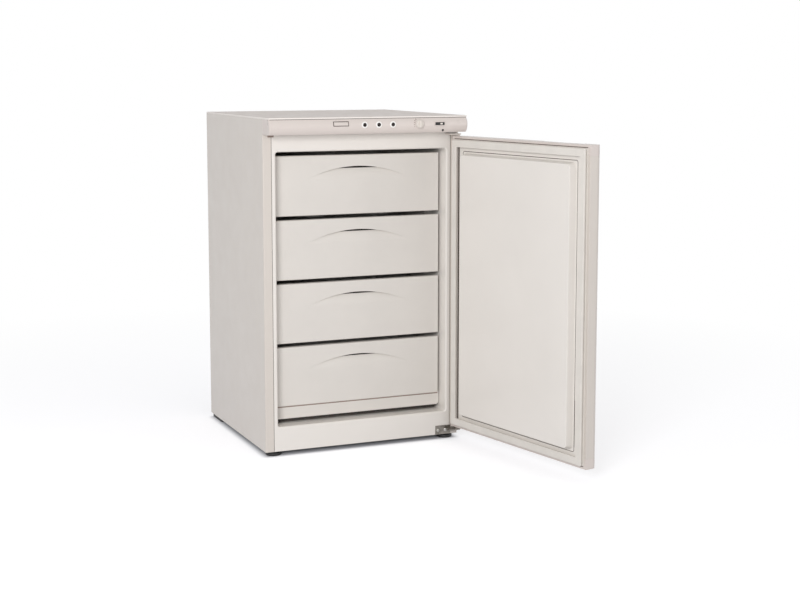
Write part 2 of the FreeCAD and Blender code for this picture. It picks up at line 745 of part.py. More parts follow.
def drawer_basket(n):
    """Tapered tray with a turned-out rim, runners and slots for the cold air."""
    low = basket_floor(n)
    top = front_low(n) + FRONT_HEIGHT - BASKET_DROP
    half = basket_half()
    front, back = DRAWER_BACK, basket_back(n)

    def tray(inset, z0, z1):
        wide = half - inset
        small = wide - BASKET_TAPER
        rear, radius = back - inset, BASKET_CORNER - inset
        return skinned([tray_loop(-small, small, front + inset, rear - BASKET_TAPER, radius, z0),
                        tray_loop(-wide, wide, front + inset, rear, radius, z1)])

    edge = half + BASKET_RIM
    rim = tray_loop(-edge, edge, front, back + BASKET_RIM / 2, BASKET_CORNER, top - BASKET_WALL)
    length = back - front
    pieces = [Part.Face(closed(rim)).extrude(Z * BASKET_WALL)]
    slots = []
    for side in (-1, 1):
        x = side * half * RUNNER_OUT
        pieces.append(box(x - RUNNER_HALF, x + RUNNER_HALF, front + BASKET_IN, back - BASKET_IN,
                          low - RUNNER, low + RUNNER))
        for row in range(SLOT_ROWS):
            y = front + length * (row + 1) / (SLOT_ROWS + 1)
            x = side * half * SLOT_OUT
            x0, x1 = x - SLOT_LENGTH / 2, x + SLOT_LENGTH / 2
            y0, y1 = y - SLOT_WIDTH / 2, y + SLOT_WIDTH / 2
            slots.append(box(x0, x1, y0, y1, low - 1, low + 2 * BASKET_WALL))
    hollow = tray(BASKET_WALL, low + BASKET_WALL, top + 0.01)
    return tray(0, low, top).fuse(pieces).cut([hollow] + slots).removeSplitter()


def shelf_coil(n):
    """Serpentine tube of the shelf under drawer n; both ends enter the back wall."""
    z = shelf_axis(n)
    reach = OPEN_HALF * PASS_REACH
    front = DRAWER_BACK + SHELF_SET
    rear = CAVITY_BACK - 3 * BACK_CLEAR
    points = serpentine(PASSES, rear, front, (-reach, reach), lambda a, b: V(b, a, z))
    points[0] = V(points[0].x, CAVITY_BACK, z)
    points[-1] = V(points[-1].x, CAVITY_BACK, z)
    return tube(points, reach, TUBE)


def shelf_wires(n):
    """Cross wires welded on the coil; their ends lie on the side rails."""
    z = front_low(n) - SHELF_CLEAR - WIRE
    half = OPEN_HALF - RAIL_WIDTH / 3
    front = DRAWER_BACK + SHELF_SET
    rear = CAVITY_BACK - BACK_CLEAR
    step = (rear - front) / (SHELF_WIRES - 1)
    places = [V(-half, front + k * step, z) for k in range(SHELF_WIRES)]
    return Part.makeCompound([bar(place, X, 2 * half, WIRE, 6) for place in places])


# Door, drawn closed and then swung open

def swung(shape):
    opened = shape.copy()
    opened.rotate(PIVOT, Z, DOOR_REST)
    return opened


def door_block(inset):
    """The door's outline drawn in by inset, with round outer edges."""
    half = HALF - inset
    block = box(-half, half, DOOR_FACE + inset, DOOR_RIM, DOOR_LOW, DOOR_HIGH)
    radius = EDGE_ROUND - inset
    return rounded(block, Z, radius, lambda p: near(p.y, DOOR_FACE + inset))


def liner_flange_block():
    edge = SHELL
    return box(-HALF + edge, HALF - edge, DOOR_RIM - SHEET - DOOR_LINER, DOOR_RIM - SHEET,
               DOOR_LOW + edge, DOOR_HIGH - edge)


def rim_window():
    """The way in through the rim's turned-in edge."""
    return box(-HALF + RIM_FLANGE, HALF - RIM_FLANGE, DOOR_RIM - SHEET, DOOR_RIM + 1,
               DOOR_LOW + RIM_FLANGE, DOOR_HIGH - RIM_FLANGE)


def band(z0, z1):
    return box(-HALF - 1, HALF + 1, DOOR_FACE - 1, DOOR_RIM + 1, z0, z1)


def door_skin():
    """Folded sheet: face, round edges and a turned-in rim."""
    inside = door_block(SHEET).cut(box(-HALF, HALF, DOOR_RIM - SHEET, DOOR_RIM + 1, DOOR_LOW, DOOR_HIGH))
    skin = door_block(0).cut([inside, rim_window()])
    return skin.common(band(DOOR_LOW + CAP, DOOR_HIGH - CAP))


def door_cap(z0, z1, bore_start, grip):
    """Moulded end cap with the hinge bore; the upper one has the finger channel."""
    cap = door_block(0).common(band(z0, z1)).cut([liner_flange_block(), rim_window()])
    cap = cap.cut(rod(PIVOT + Z * bore_start, Z, PIN_REACH, PIN + PIN_PLAY))
    if grip:
        start = V(-HALF / 2 - GRIP_LENGTH / 2, DOOR_FACE + 1, DOOR_HIGH - GRIP_ROUND / 2)
        cap = cap.cut(rod(start, X, GRIP_LENGTH, GRIP_ROUND))
    return cap


def plateau(inset, base, top):
    """Raised middle of the inner panel, with sloped sides."""
    x = HALF - PLATEAU_SIDE - inset
    low, high = DOOR_LOW + PLATEAU_LOW + inset, DOOR_HIGH - PLATEAU_TOP - inset
    radius = PLATEAU_CORNER - inset
    d = PLATEAU_DRAFT
    foot = loop_xz(-x - d, x + d, low - d, high + d, radius + d, base)
    crown = loop_xz(-x, x, low, high, radius, top)
    return loft(foot, crown)


def door_liner():
    base = DOOR_RIM - SHEET - DOOR_LINER
    top = DOOR_RIM + PLATEAU
    hollow = plateau(DOOR_LINER, base - 0.01, top - DOOR_LINER)
    return liner_flange_block().fuse(plateau(0, base, top)).cut(hollow).removeSplitter()


def door_foam():
    """Foam between skin, caps and inner panel."""
    foam = door_block(SHEET).common(band(DOOR_LOW + CAP, DOOR_HIGH - CAP))
    base = DOOR_RIM - SHEET - DOOR_LINER
    foam = foam.cut(box(-HALF, HALF, base, DOOR_RIM + 1, DOOR_LOW, DOOR_HIGH))
    core = plateau(DOOR_LINER, base - 0.01, DOOR_RIM + PLATEAU - DOOR_LINER)
    core = core.common(box(-HALF, HALF, base, FRONT + PLATEAU, DOOR_LOW, DOOR_HIGH))
    return foam.fuse(core).removeSplitter()


def gasket_ring(inset_out, inset_in, y0, y1):
    def block(inset):
        return box(-HALF + inset, HALF - inset, y0, y1, DOOR_LOW + inset, DOOR_HIGH - inset)

    return block(inset_out).cut(block(inset_in))


def door_gasket():
    """Narrow neck on the inner panel and a wide hollow head that meets the frame."""
    seal = FRONT - SEAL_GAP
    neck_out = GASKET_IN + GASKET_NECK
    neck_in = GASKET_IN + GASKET_WIDTH - GASKET_NECK
    neck = gasket_ring(neck_out, neck_in, DOOR_RIM - SHEET, seal - GASKET_HEAD)
    head = gasket_ring(GASKET_IN, GASKET_IN + GASKET_WIDTH, seal - GASKET_HEAD, seal)
    channel = Part.makeCompound(magnet_bars())
    return neck.fuse(head).cut(channel).removeSplitter()


def magnet_bars():
    """Four magnetic strips in the gasket's head."""
    middle = GASKET_IN + GASKET_WIDTH / 2
    y0 = FRONT - SEAL_GAP - GASKET_HEAD / 2 - MAGNET_THICK / 2
    y1 = y0 + MAGNET_THICK
    w = MAGNET_WIDTH / 2
    x, low, high = HALF - middle, DOOR_LOW + middle, DOOR_HIGH - middle
    bars = [
        box(-x - w, -x + w, y0, y1, low + 2 * w, high - 2 * w),
        box(x - w, x + w, y0, y1, low + 2 * w, high - 2 * w),
        box(-x + 2 * w, x - 2 * w, y0, y1, low - w, low + w),
        box(-x + 2 * w, x - 2 * w, y0, y1, high - w, high + w),
    ]
    return bars


# Hinges

def lower_hinge():
    """Plate on the front frame, an arm under the door and a shouldered pin."""
    plate_x1 = FLANGE_X + SEAM
    plate_low = STAND + SEAM
    plate = box(plate_x1 - HINGE_PLATE_WIDTH, plate_x1, FRONT - PLATE, FRONT,
                plate_low, plate_low + HINGE_PLATE_HEIGHT)
    arm_top = DOOR_LOW - ARM_DROP
    arm_low = arm_top - ARM_THICK
    arm = box(PIVOT.x - ARM_WIDTH, PIVOT.x, PIVOT.y - EYE, FRONT, arm_low, arm_top)
    arm = arm.cut(box(plate_x1, HALF, FRONT - PLATE, FRONT + 1, arm_low - 1, arm_top + 1))
    eye = rod(PIVOT + Z * arm_low, Z, ARM_THICK, EYE)
    collar = bar(PIVOT + Z * arm_top, Z, ARM_DROP - PLAY, PIN + PLATE)
    pin = rod(PIVOT + Z * arm_low, Z, DOOR_LOW + PIN_REACH - PIN / 2 - arm_low, PIN)
    return plate.fuse([arm, eye, collar, pin]).removeSplitter()


def upper_hinge():
    """Angle on the frame behind the fascia, with a pin down into the door."""
    low = DOOR_HIGH + UPPER_RISE
    x0, x1 = PIVOT.x - UPPER_IN, PIVOT.x + UPPER_OUT
    leg = box(x0, x1, FRONT - PLATE, FRONT, low, low + UPPER_LEG)
    foot = box(x0, x1, PIVOT.y - EYE, FRONT, low, low + PLATE)
    foot = rounded(foot, Z, UPPER_OUT, lambda p: near(p.y, PIVOT.y - EYE))
    pin_low = DOOR_HIGH - PIN_REACH + PIN / 2
    pin = rod(PIVOT + Z * pin_low, Z, low + PLATE - pin_low, PIN)
    return leg.fuse([foot, pin]).removeSplitter()


# Feet, skid and cooling set

def front_foot(place):
    """Turned levelling foot with a stud up into its nut."""
    top = STAND - PLAY
    small = FOOT_RADIUS - FOOT_BEVEL
    shoulder = FOOT_PAD - FOOT_BEVEL
    profile = [(0, small), (FOOT_BEVEL, FOOT_RADIUS), (shoulder, FOOT_RADIUS), (FOOT_PAD, small)]
    pad = turned(place, Z, profile, 24)
    hub = bar(place + Z * FOOT_PAD, Z, top - FOOT_PAD, 2 * STUD)
    stud = bar(place + Z * top, Z, PLAY + SHEET + STUD_REACH, STUD)
    return pad.fuse([hub, stud]).removeSplitter()


def rear_skid():
    """Moulded bar under the back edge that the cabinet rests and slides on."""
    half = HALF - SKID_IN
    skid = box(-half, half, -SKID_DEPTH, 0, 0, STAND)
    return rounded(skid, X, STAND / 2, lambda p: near(p.z, 0) and near(p.y, -SKID_DEPTH))


def compressor_plate():
    """Tray across the machine room with turned-up lips."""
    half = HALF - SHEET
    plate = box(-half, half, -ROOM_DEPTH, -SHEET, STAND, STAND + TRAY)
    lips = [box(-half, half, y, y + TRAY, STAND, STAND + TRAY_LIP) for y in (-ROOM_DEPTH, -SHEET - TRAY)]
    return plate.fuse(lips).removeSplitter()


def compressor_middle():
    return V(COMPRESSOR_X, -SHEET - ROOM_DEPTH / 2, STAND + TRAY)


def mount_places():
    dx, dy = FOOT_PLATE_LENGTH / 2 - FOOT_PLATE_CORNER, FOOT_PLATE_WIDTH / 2 - FOOT_PLATE_CORNER
    return [compressor_middle() + V(sx * dx, sy * dy, 0) for sx in (-1, 1) for sy in (-1, 1)]


def compressor_mounts():
    """Four rubber bushes under the compressor's feet."""
    return Part.makeCompound([bar(place, Z, BUSH_HEIGHT, BUSH_RADIUS) for place in mount_places()])


def compressor_foot_plate():
    middle = compressor_middle()
    dx, dy = FOOT_PLATE_LENGTH / 2, FOOT_PLATE_WIDTH / 2
    low = middle.z + BUSH_HEIGHT
    plate = box(middle.x - dx, middle.x + dx, middle.y - dy, middle.y + dy, low, low + PLATE)
    return rounded(plate, Z, FOOT_PLATE_CORNER, lambda p: True)


def compressor_shell():
    """Welded pot with domed ends and a seam flange."""
    r, h = COMPRESSOR_RADIUS, COMPRESSOR_HEIGHT
    profile = [(h * rise, r * reach) for rise, reach in POT_SHAPE]
    base = compressor_middle() + Z * (BUSH_HEIGHT + PLATE)
    flange = bar(base + Z * POT_SEAM * h, Z, PLATE, r + PLATE, POT_SIDES)
    return turned(base, Z, profile, POT_SIDES).fuse(flange).removeSplitter()


def port(direction):
    """Where a line meets the pot's side."""
    reach = flat(COMPRESSOR_RADIUS, POT_SIDES)
    return compressor_middle() + direction * reach + Z * PORT_HEIGHT


def relay_cover():
    """Moulded cover over the starter on the pot's side."""
    middle = compressor_middle()
    x1 = middle.x - COMPRESSOR_RADIUS + RELAY_SUNK
    x0 = x1 - RELAY_LENGTH
    low = middle.z + RELAY_LOW
    cover = box(x0, x1, middle.y - RELAY_WIDTH / 2, middle.y + RELAY_WIDTH / 2, low, low + RELAY_HEIGHT)
    cover = rounded(cover, Z, RELAY_SUNK, lambda p: near(p.x, x0))
    return cover.cut(compressor_shell())


def condenser_tube():
    """Serpentine tube behind the back panel, down into the drier."""
    half = HALF - COIL_SIDE
    top = drier_top()
    points = serpentine(COIL_PASSES, -half, half, (COIL_HIGH, COIL_LOW), lambda a, b: V(a, COIL_STAND, b))
    points[-1] = V(top.x, COIL_STAND, COIL_LOW)
    points.append(top)
    return tube(points, half, COIL_TUBE)


def condenser_wires():
    """Upright wires welded across the back of the coil."""
    half = HALF - COIL_SIDE - WIRE_IN
    y = COIL_STAND + flat(COIL_TUBE, 8) + flat(WIRE, 6) - WELD
    step = 2 * half / (COIL_WIRES - 1)
    low, length = COIL_LOW - WIRE_PAST, COIL_HIGH - COIL_LOW + 2 * WIRE_PAST
    places = [V(-half + n * step, y, low) for n in range(COIL_WIRES)]
    return Part.makeCompound([bar(place, Z, length, WIRE, 6) for place in places])


def condenser_brackets():
    """Four clips between the back panel and the coil."""
    pitch = (COIL_HIGH - COIL_LOW) / (COIL_PASSES - 1)
    grip = flat(COIL_TUBE, 8)
    clips = []
    for side in (-1, 1):
        x = side * (HALF - COIL_SIDE - CLIP_IN)
        x0, x1 = x - CLIP / 2, x + CLIP / 2
        for z in (COIL_LOW + pitch, COIL_HIGH - pitch):
            clip = box(x0, x1, 0, COIL_STAND + COIL_TUBE / 2, z - CLIP / 2, z + CLIP / 2)
            notch = box(x0, x1, COIL_STAND - grip, COIL_STAND + 2 * COIL_TUBE, z - grip, z + grip)
            clips.append(clip.cut(notch))
    return Part.makeCompound(clips)


def discharge_line():
    """From the compressor's side to a riser beside the coil and into its upper end."""
    start = port(Y)
    end = V(-HALF + COIL_SIDE, COIL_STAND, COIL_HIGH)
    riser = end.x - RISER_OUT
    points = [start, V(start.x, COIL_STAND, start.z), V(riser, COIL_STAND, start.z),
              V(riser, COIL_STAND, end.z), end]
    return tube(points, LINE_BEND, COIL_TUBE)


def drier_top():
    return V(-HALF + COIL_SIDE - DRIER_OUT, COIL_STAND, COIL_LOW - DRIER_DROP)


def filter_drier():
    """Spun copper can with necked ends."""
    r, length = DRIER_RADIUS, DRIER_LENGTH
    profile = [(0, COIL_TUBE), (r, r), (length - r, r), (length, COIL_TUBE)]
    return turned(drier_top(), -Z, profile, 16)


def capillary():
    """Thin line from the drier into the machine room's roof."""
    start = drier_top() - Z * DRIER_LENGTH
    low, inside = start.z - DRIER_DROP, -ROOM_DEPTH / 2
    points = [start, V(start.x, start.y, low), V(start.x, inside, low), V(start.x, inside, ROOM_TOP)]
    return tube(points, LINE_BEND, CAPILLARY, 6)


def suction_line():
    """From the compressor's side up into the machine room's roof."""
    start = port(X)
    corner = start + X * SUCTION_OUT
    return tube([start, corner, V(corner.x, corner.y, ROOM_TOP)], LINE_BEND, COIL_TUBE)


def cord_gland():
    """Cable gland on the relay cover; no cord is fitted."""
    out = -COMPRESSOR_RADIUS - RELAY_LENGTH / 2
    start = compressor_middle() + V(out, RELAY_WIDTH / 2, RELAY_LOW + RELAY_HEIGHT / 2)
    return bar(start, Y, GLAND_LENGTH, GLAND_RADIUS)


def build():
    nodes = {
        "left_side_panel": side_panel(),
        "right_side_panel": mirrored(side_panel()),
        "back_panel": back_panel(),
        "top_panel": top_panel(),
        "base_panel": base_panel(),
        "machine_room_panel": machine_room_panel(),
        "inner_liner": inner_liner(),
        "cabinet_foam": cabinet_foam(),
        "worktop": worktop(),
        "control_fascia": control_fascia(),
        "fascia_plug": fascia_plug(),
        "thermostat_body": thermostat_body(),
        "thermostat_knob": thermostat_knob(),
        "switch_housing": switch_housing(),
        "fast_freeze_switch": fast_freeze_switch(),
        "lower_hinge": lower_hinge(),
        "upper_hinge": upper_hinge(),
        "rear_skid": rear_skid(),
        "compressor_plate": compressor_plate(),
        "compressor_mounts": compressor_mounts(),
        "compressor_foot_plate": compressor_foot_plate(),
        "compressor_shell": compressor_shell(),
        "relay_cover": relay_cover(),
        "condenser_tube": condenser_tube(),
        "condenser_wires": condenser_wires(),
        "condenser_brackets": condenser_brackets(),
        "discharge_line": discharge_line(),
        "filter_drier": filter_drier(),
        "capillary": capillary(),
        "suction_line": suction_line(),
        "cord_gland": cord_gland(),
        "door_skin": swung(door_skin()),
        "door_top_cap": swung(door_cap(DOOR_HIGH - CAP, DOOR_HIGH, DOOR_HIGH - PIN_REACH, True)),
        "door_bottom_cap": swung(door_cap(DOOR_LOW, DOOR_LOW + CAP, DOOR_LOW, False)),
        "door_liner": swung(door_liner()),
        "door_foam": swung(door_foam()),
        "door_gasket": swung(door_gasket()),
        "gasket_magnets": swung(Part.makeCompound(magnet_bars())),
    }
    for n, place in enumerate(lamp_places()):
        nodes[f"indicator_lens_{n + 1}"] = indicator_lens(place)
    for name, place in zip(("left", "right"), foot_places()):
        nodes[f"front_foot_{name}"] = front_foot(place)
        nodes[f"foot_socket_{name}"] = foot_socket(place)
    for n in range(DRAWERS):
        nodes[f"drawer_front_{n + 1}"] = drawer_front(n)
        nodes[f"drawer_basket_{n + 1}"] = drawer_basket(n)
    for n in range(DRAWERS - 1):
        nodes[f"shelf_coil_{n + 1}"] = shelf_coil(n)
        nodes[f"shelf_wires_{n + 1}"] = shelf_wires(n)
    return nodes


os.makedirs("parts", exist_ok=True)
for name, shape in build().items():
    if not shape.isValid() or shape.Volume <= 0:
        print("check", name, shape.isValid(), shape.Volume)
    shape.exportStep(f"parts/{name}.step")
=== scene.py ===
import json
import math

import bmesh
import bpy
from mathutils import Matrix, Vector


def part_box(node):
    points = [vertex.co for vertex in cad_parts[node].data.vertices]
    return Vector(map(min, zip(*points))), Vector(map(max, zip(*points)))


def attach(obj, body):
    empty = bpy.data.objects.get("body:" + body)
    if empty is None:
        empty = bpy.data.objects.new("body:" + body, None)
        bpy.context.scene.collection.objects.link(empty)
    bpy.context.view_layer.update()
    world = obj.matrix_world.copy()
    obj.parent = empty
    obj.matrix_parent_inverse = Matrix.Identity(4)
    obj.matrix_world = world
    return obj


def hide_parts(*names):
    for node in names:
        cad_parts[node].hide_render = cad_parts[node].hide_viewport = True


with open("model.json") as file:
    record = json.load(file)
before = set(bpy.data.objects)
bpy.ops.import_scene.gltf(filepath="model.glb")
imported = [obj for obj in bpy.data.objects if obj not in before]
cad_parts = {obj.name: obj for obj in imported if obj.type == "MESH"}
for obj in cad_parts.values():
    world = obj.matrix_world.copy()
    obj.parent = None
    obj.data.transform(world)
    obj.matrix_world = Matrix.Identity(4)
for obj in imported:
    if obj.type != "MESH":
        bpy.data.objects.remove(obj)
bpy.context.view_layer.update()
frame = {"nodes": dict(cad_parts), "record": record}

# Upright drawer freezer with its door open, in the part's own frame: +X to the hinge side, +Y to
# the back, +Z up. Camera, lamps and floor are given in metres, the freezer's own measures in
# millimetres; at() and MM turn those into metres.

MM = 0.001
Y, Z = Vector((0, 1, 0)), Vector((0, 0, 1))
SLOT_OF = {row["node"]: row["material_slot"] for row in frame["record"]["subparts"]}
BODIES = frame["record"]["behaviour"]["bodies"]
BODY_OF = {node: body for body, nodes in BODIES.items() for node in nodes}
DRAWERS = range(1, 5)
SHELVES = range(1, 4)
LAMPS = range(1, 4)

# The camera stands as the photographer did, a little left of the cabinet and above its middle.
CAMERA_PLACE = Vector((-1.412, -3.985, 0.979))
CAMERA_DOWN = 7.14         # degrees
CAMERA_RIGHT = 23.38
CAMERA_LENS = 67.5
CAMERA_SHIFT = -0.06

# Light
SKY_LIGHT = 0.53
KEY_PLACE = Vector((-2.15, -3.55, 1.5))
KEY_POWER = 75.0
FILL_PLACE = Vector((2.2, -3.4, 1.1))
FILL_POWER = 12.0
LAMP_SIZE = 1.2
LAMP_TARGET = Vector((0, -0.45, 0.42))

# Floor: no glow inside the cabinet's footprint, which paints a shadow under it; full glow just
# outside it, white far away.
FLOOR_RADIUS = 12.0
FLOOR_MIDDLE = Vector((0, -0.2425, 0))
FLOOR_HALF = Vector((0.255, 0.2325, 0))
PAINTED_SHADOW_EDGE = 0.02
FLOOR_NEAR = 0.25
FLOOR_FAR = 1.9
FLOOR_GLOW = 0.53


# Finishes

WORKTOP_RIM = 849.3        # the rim's paler colour (painted highlight) turns into the face's darker one (painted shade) between these heights
WORKTOP_FACE = 849.9
NOISE_LOW = 0.3            # most of a noise pattern lies between these values
NOISE_HIGH = 0.7


def screen(red, green, blue):
    """An sRGB colour as it looks on screen, 0 to 255, turned into light values."""
    shares = [value / 255 for value in (red, green, blue)]
    light = [s / 12.92 if s <= 0.04045 else ((s + 0.055) / 1.055) ** 2.4 for s in shares]
    return (*light, 1.0)


def shade(colour, share):
    """The same colour, darker."""
    return (*(channel * share for channel in colour[:3]), 1.0)


class Finish:
    """A material with one shader and patterns on the piece's own coordinates.

    Sizes and depths of patterns are in millimetres.
    """

    def __init__(self, name, roughness, metallic=0.0, coat=0.0, specular=0.5):
        self.material = bpy.data.materials.new(name)
        self.material.use_nodes = True
        self.tree = self.material.node_tree
        self.shader = self.tree.nodes["Principled BSDF"]
        self.shader.inputs["Roughness"].default_value = roughness
        self.shader.inputs["Metallic"].default_value = metallic
        self.shader.inputs["Coat Weight"].default_value = coat
        self.shader.inputs["Specular IOR Level"].default_value = specular
        self.place = self.node("ShaderNodeTexCoord").outputs["Object"]
        self.relief = None

    def node(self, kind, **values):
        """A new node with values for its inputs."""
        made = self.tree.nodes.new(kind)
        for name, value in values.items():
            made.inputs[name.replace("_", " ")].default_value = value
        return made

    def link(self, source, target):
        self.tree.links.new(source, target)

    def stretched(self, x, y, z):
        """The piece's coordinates, scaled along each axis."""
        mapping = self.node("ShaderNodeMapping", Scale=(x, y, z))
        self.link(self.place, mapping.inputs["Vector"])
        return mapping.outputs["Vector"]

    def noise(self, size, detail, place=None):
        """Soft mottling with blotches of about that size."""
        made = self.node("ShaderNodeTexNoise", Scale=1 / (size * MM), Detail=detail)
        self.link(place or self.place, made.inputs["Vector"])
        return made.outputs["Fac"]

    def cells(self, size, output="Distance"):
        """A cell pattern; its outputs are Distance and Color."""
        made = self.node("ShaderNodeTexVoronoi", Scale=1 / (size * MM))
        self.link(self.place, made.inputs["Vector"])
        return made.outputs[output]

    def spread(self, value, low, high, start=NOISE_LOW, end=NOISE_HIGH):
        """A pattern's range from start to end, carried over to low and high."""
        made = self.node("ShaderNodeMapRange", From_Min=start, From_Max=end, To_Min=low,
                         To_Max=high)
        self.link(value, made.inputs["Value"])
        return made.outputs["Result"]

    def colour(self, value, dark, light, start=NOISE_LOW, end=NOISE_HIGH):
        """Base colour between two tones, by a pattern."""
        ramp = self.node("ShaderNodeValToRGB")
        low, high = ramp.color_ramp.elements
        low.position, low.color = start, dark
        high.position, high.color = end, light
        self.link(value, ramp.inputs["Fac"])
        self.link(ramp.outputs["Color"], self.shader.inputs["Base Color"])

    def sheen_by(self, value, low, high, start=NOISE_LOW, end=NOISE_HIGH):
        """Roughness between two values, by a pattern."""
        self.link(self.spread(value, low, high, start, end), self.shader.inputs["Roughness"])

    def bump(self, value, depth, strength=1.0):
        """Relief of that depth, added to what is there already."""
        made = self.node("ShaderNodeBump", Strength=strength, Distance=depth * MM)
        self.link(value, made.inputs["Height"])
        if self.relief:
            self.link(self.relief, made.inputs["Normal"])
        self.relief = made.outputs["Normal"]
        self.link(self.relief, self.shader.inputs["Normal"])


def sheet_enamel():
    """Baked enamel on steel: fine orange peel and a faint cloud in its gloss."""
    white = screen(212, 204, 196)
    finish = Finish("sheet_enamel", roughness=0.34, coat=0.4)
    finish.colour(finish.noise(size=160, detail=3), shade(white, 0.975), white)
    finish.sheen_by(finish.noise(size=45, detail=4), low=0.3, high=0.42)
    finish.bump(finish.noise(size=2.2, detail=1), depth=0.02, strength=0.6)
    return finish.material


def moulded(name, colour, roughness, cloud=0.97):
    """Injection moulded plastic: fine spark grain, flow clouds and handled patches."""
    finish = Finish(name, roughness)
    finish.colour(finish.noise(size=70, detail=4), shade(colour, cloud), colour)
    finish.sheen_by(finish.noise(size=28, detail=5), low=roughness - 0.06, high=roughness + 0.08)
    finish.bump(finish.noise(size=30, detail=1), depth=0.12, strength=0.4)
    finish.bump(finish.noise(size=0.5, detail=2), depth=0.02, strength=0.7)
    return finish.material


def worktop_plastic():
    """Grained worktop; its rim is painted paler as a highlight and its upper face darker as shade.
    """
    finish = Finish("worktop_plastic", roughness=0.36, specular=0.25)
    split = finish.node("ShaderNodeSeparateXYZ")
    finish.link(finish.place, split.inputs["Vector"])
    # Painted light by height: a highlight on the rim, shade on the upper face.
    height = finish.spread(split.outputs["Z"], 0, 1, start=WORKTOP_RIM * MM, end=WORKTOP_FACE * MM)
    finish.colour(height, screen(240, 234, 228), screen(208, 197, 190), start=0, end=1)
    finish.sheen_by(finish.noise(size=28, detail=5), low=0.3, high=0.44)
    finish.bump(finish.noise(size=0.9, detail=2), depth=0.03, strength=0.7)
    return finish.material


def liner_sheet():
    """Thermoformed sheet: glossy, with the slow ripple of drawn plastic."""
    white = screen(232, 227, 221)
    finish = Finish("liner_sheet", roughness=0.22)
    finish.colour(finish.noise(size=140, detail=3), shade(white, 0.975), white)
    finish.sheen_by(finish.noise(size=60, detail=4), low=0.18, high=0.27)
    finish.bump(finish.noise(size=90, detail=1), depth=0.06, strength=0.3)
    finish.bump(finish.noise(size=1.4, detail=2), depth=0.008, strength=0.4)
    return finish.material


def zinc_spangle():
    """Hot-dipped sheet with crystal spangles."""
    finish = Finish("zinc_spangle", roughness=0.42, metallic=0.85)
    crystals = finish.cells(size=9, output="Color")
    finish.colour(crystals, screen(168, 171, 172), screen(196, 199, 200), start=0.1, end=0.9)
    finish.sheen_by(crystals, low=0.34, high=0.52, start=0.0, end=1.0)
    finish.bump(finish.noise(size=1.5, detail=2), depth=0.02, strength=0.5)
    return finish.material


def rigid_foam():
    """Sprayed foam with open pores."""
    finish = Finish("rigid_foam", roughness=0.9, specular=0.2)
    finish.colour(finish.noise(size=25, detail=5), screen(216, 190, 128), screen(236, 216, 160))
    finish.bump(finish.cells(size=1.2), depth=0.3, strength=0.8)
    return finish.material


def seal_rubber():
    """Soft white seal, matt, with a trace of dust in its colour."""
    white = screen(226, 221, 214)
    finish = Finish("seal_rubber", roughness=0.62, specular=0.35)
    finish.colour(finish.noise(size=50, detail=5), shade(white, 0.93), white)
    finish.sheen_by(finish.noise(size=18, detail=3), low=0.55, high=0.72)
    finish.bump(finish.noise(size=0.8, detail=2), depth=0.03, strength=0.7)
    return finish.material


def magnet_strip():
    """Brown-black magnetic strip with a rough skin."""
    finish = Finish("magnet_strip", roughness=0.7)
    finish.colour(finish.noise(size=6, detail=4), screen(40, 34, 32), screen(62, 54, 50))
    finish.bump(finish.noise(size=0.6, detail=2), depth=0.04)
    return finish.material


def smoked_lens():
    """Tinted lens of an unlit lamp."""
    finish = Finish("smoked_lens", roughness=0.2, specular=0.3)
    finish.colour(finish.noise(size=3, detail=2), screen(22, 16, 15), screen(40, 27, 24))
    finish.bump(finish.cells(size=0.8), depth=0.03, strength=0.4)
    return finish.material


def plated_steel(name, dark, light):
    """Zinc plate over rolled steel, with drawn lines."""
    finish = Finish(name, roughness=0.35, metallic=1.0)
    lines = finish.noise(size=0.5, detail=3, place=finish.stretched(0.06, 1, 1))
    finish.colour(finish.noise(size=12, detail=4), dark, light)
    finish.sheen_by(lines, low=0.26, high=0.46)
    finish.bump(lines, depth=0.015, strength=0.6)
    return finish.material


def black_paint():
    """Dipped black paint with dust on it."""
    finish = Finish("black_paint", roughness=0.42, coat=0.1)
    finish.colour(finish.noise(size=35, detail=6), screen(30, 30, 32), screen(58, 57, 56),
                  start=0.4, end=0.8)
    finish.sheen_by(finish.noise(size=20, detail=5), low=0.34, high=0.6)
    finish.bump(finish.noise(size=2.0, detail=2), depth=0.04, strength=0.6)
    return finish.material


def drawn_copper():
    """Copper with brown tarnish."""
    finish = Finish("drawn_copper", roughness=0.32, metallic=1.0)
    finish.colour(finish.noise(size=14, detail=6), screen(142, 84, 58), screen(206, 132, 98))
    finish.sheen_by(finish.noise(size=6, detail=4), low=0.26, high=0.5)
    finish.bump(finish.noise(size=1.2, detail=3), depth=0.02, strength=0.5)
    return finish.material


def coated_wire():
    """White dip coat on tube and wire, with slow runs."""
    white = screen(222, 220, 216)
    finish = Finish("coated_wire", roughness=0.38, coat=0.1)
    finish.colour(finish.noise(size=40, detail=4), shade(white, 0.92), white)
    finish.sheen_by(finish.noise(size=15, detail=3), low=0.32, high=0.48)
    finish.bump(finish.noise(size=3, detail=2), depth=0.06, strength=0.6)
    return finish.material


def bush_rubber():
    """Black rubber with a dusty, worn skin."""
    finish = Finish("bush_rubber", roughness=0.75, specular=0.3)
    finish.colour(finish.noise(size=8, detail=5), screen(30, 30, 30), screen(52, 51, 50))
    finish.bump(finish.noise(size=0.7, detail=3), depth=0.06)
    return finish.material


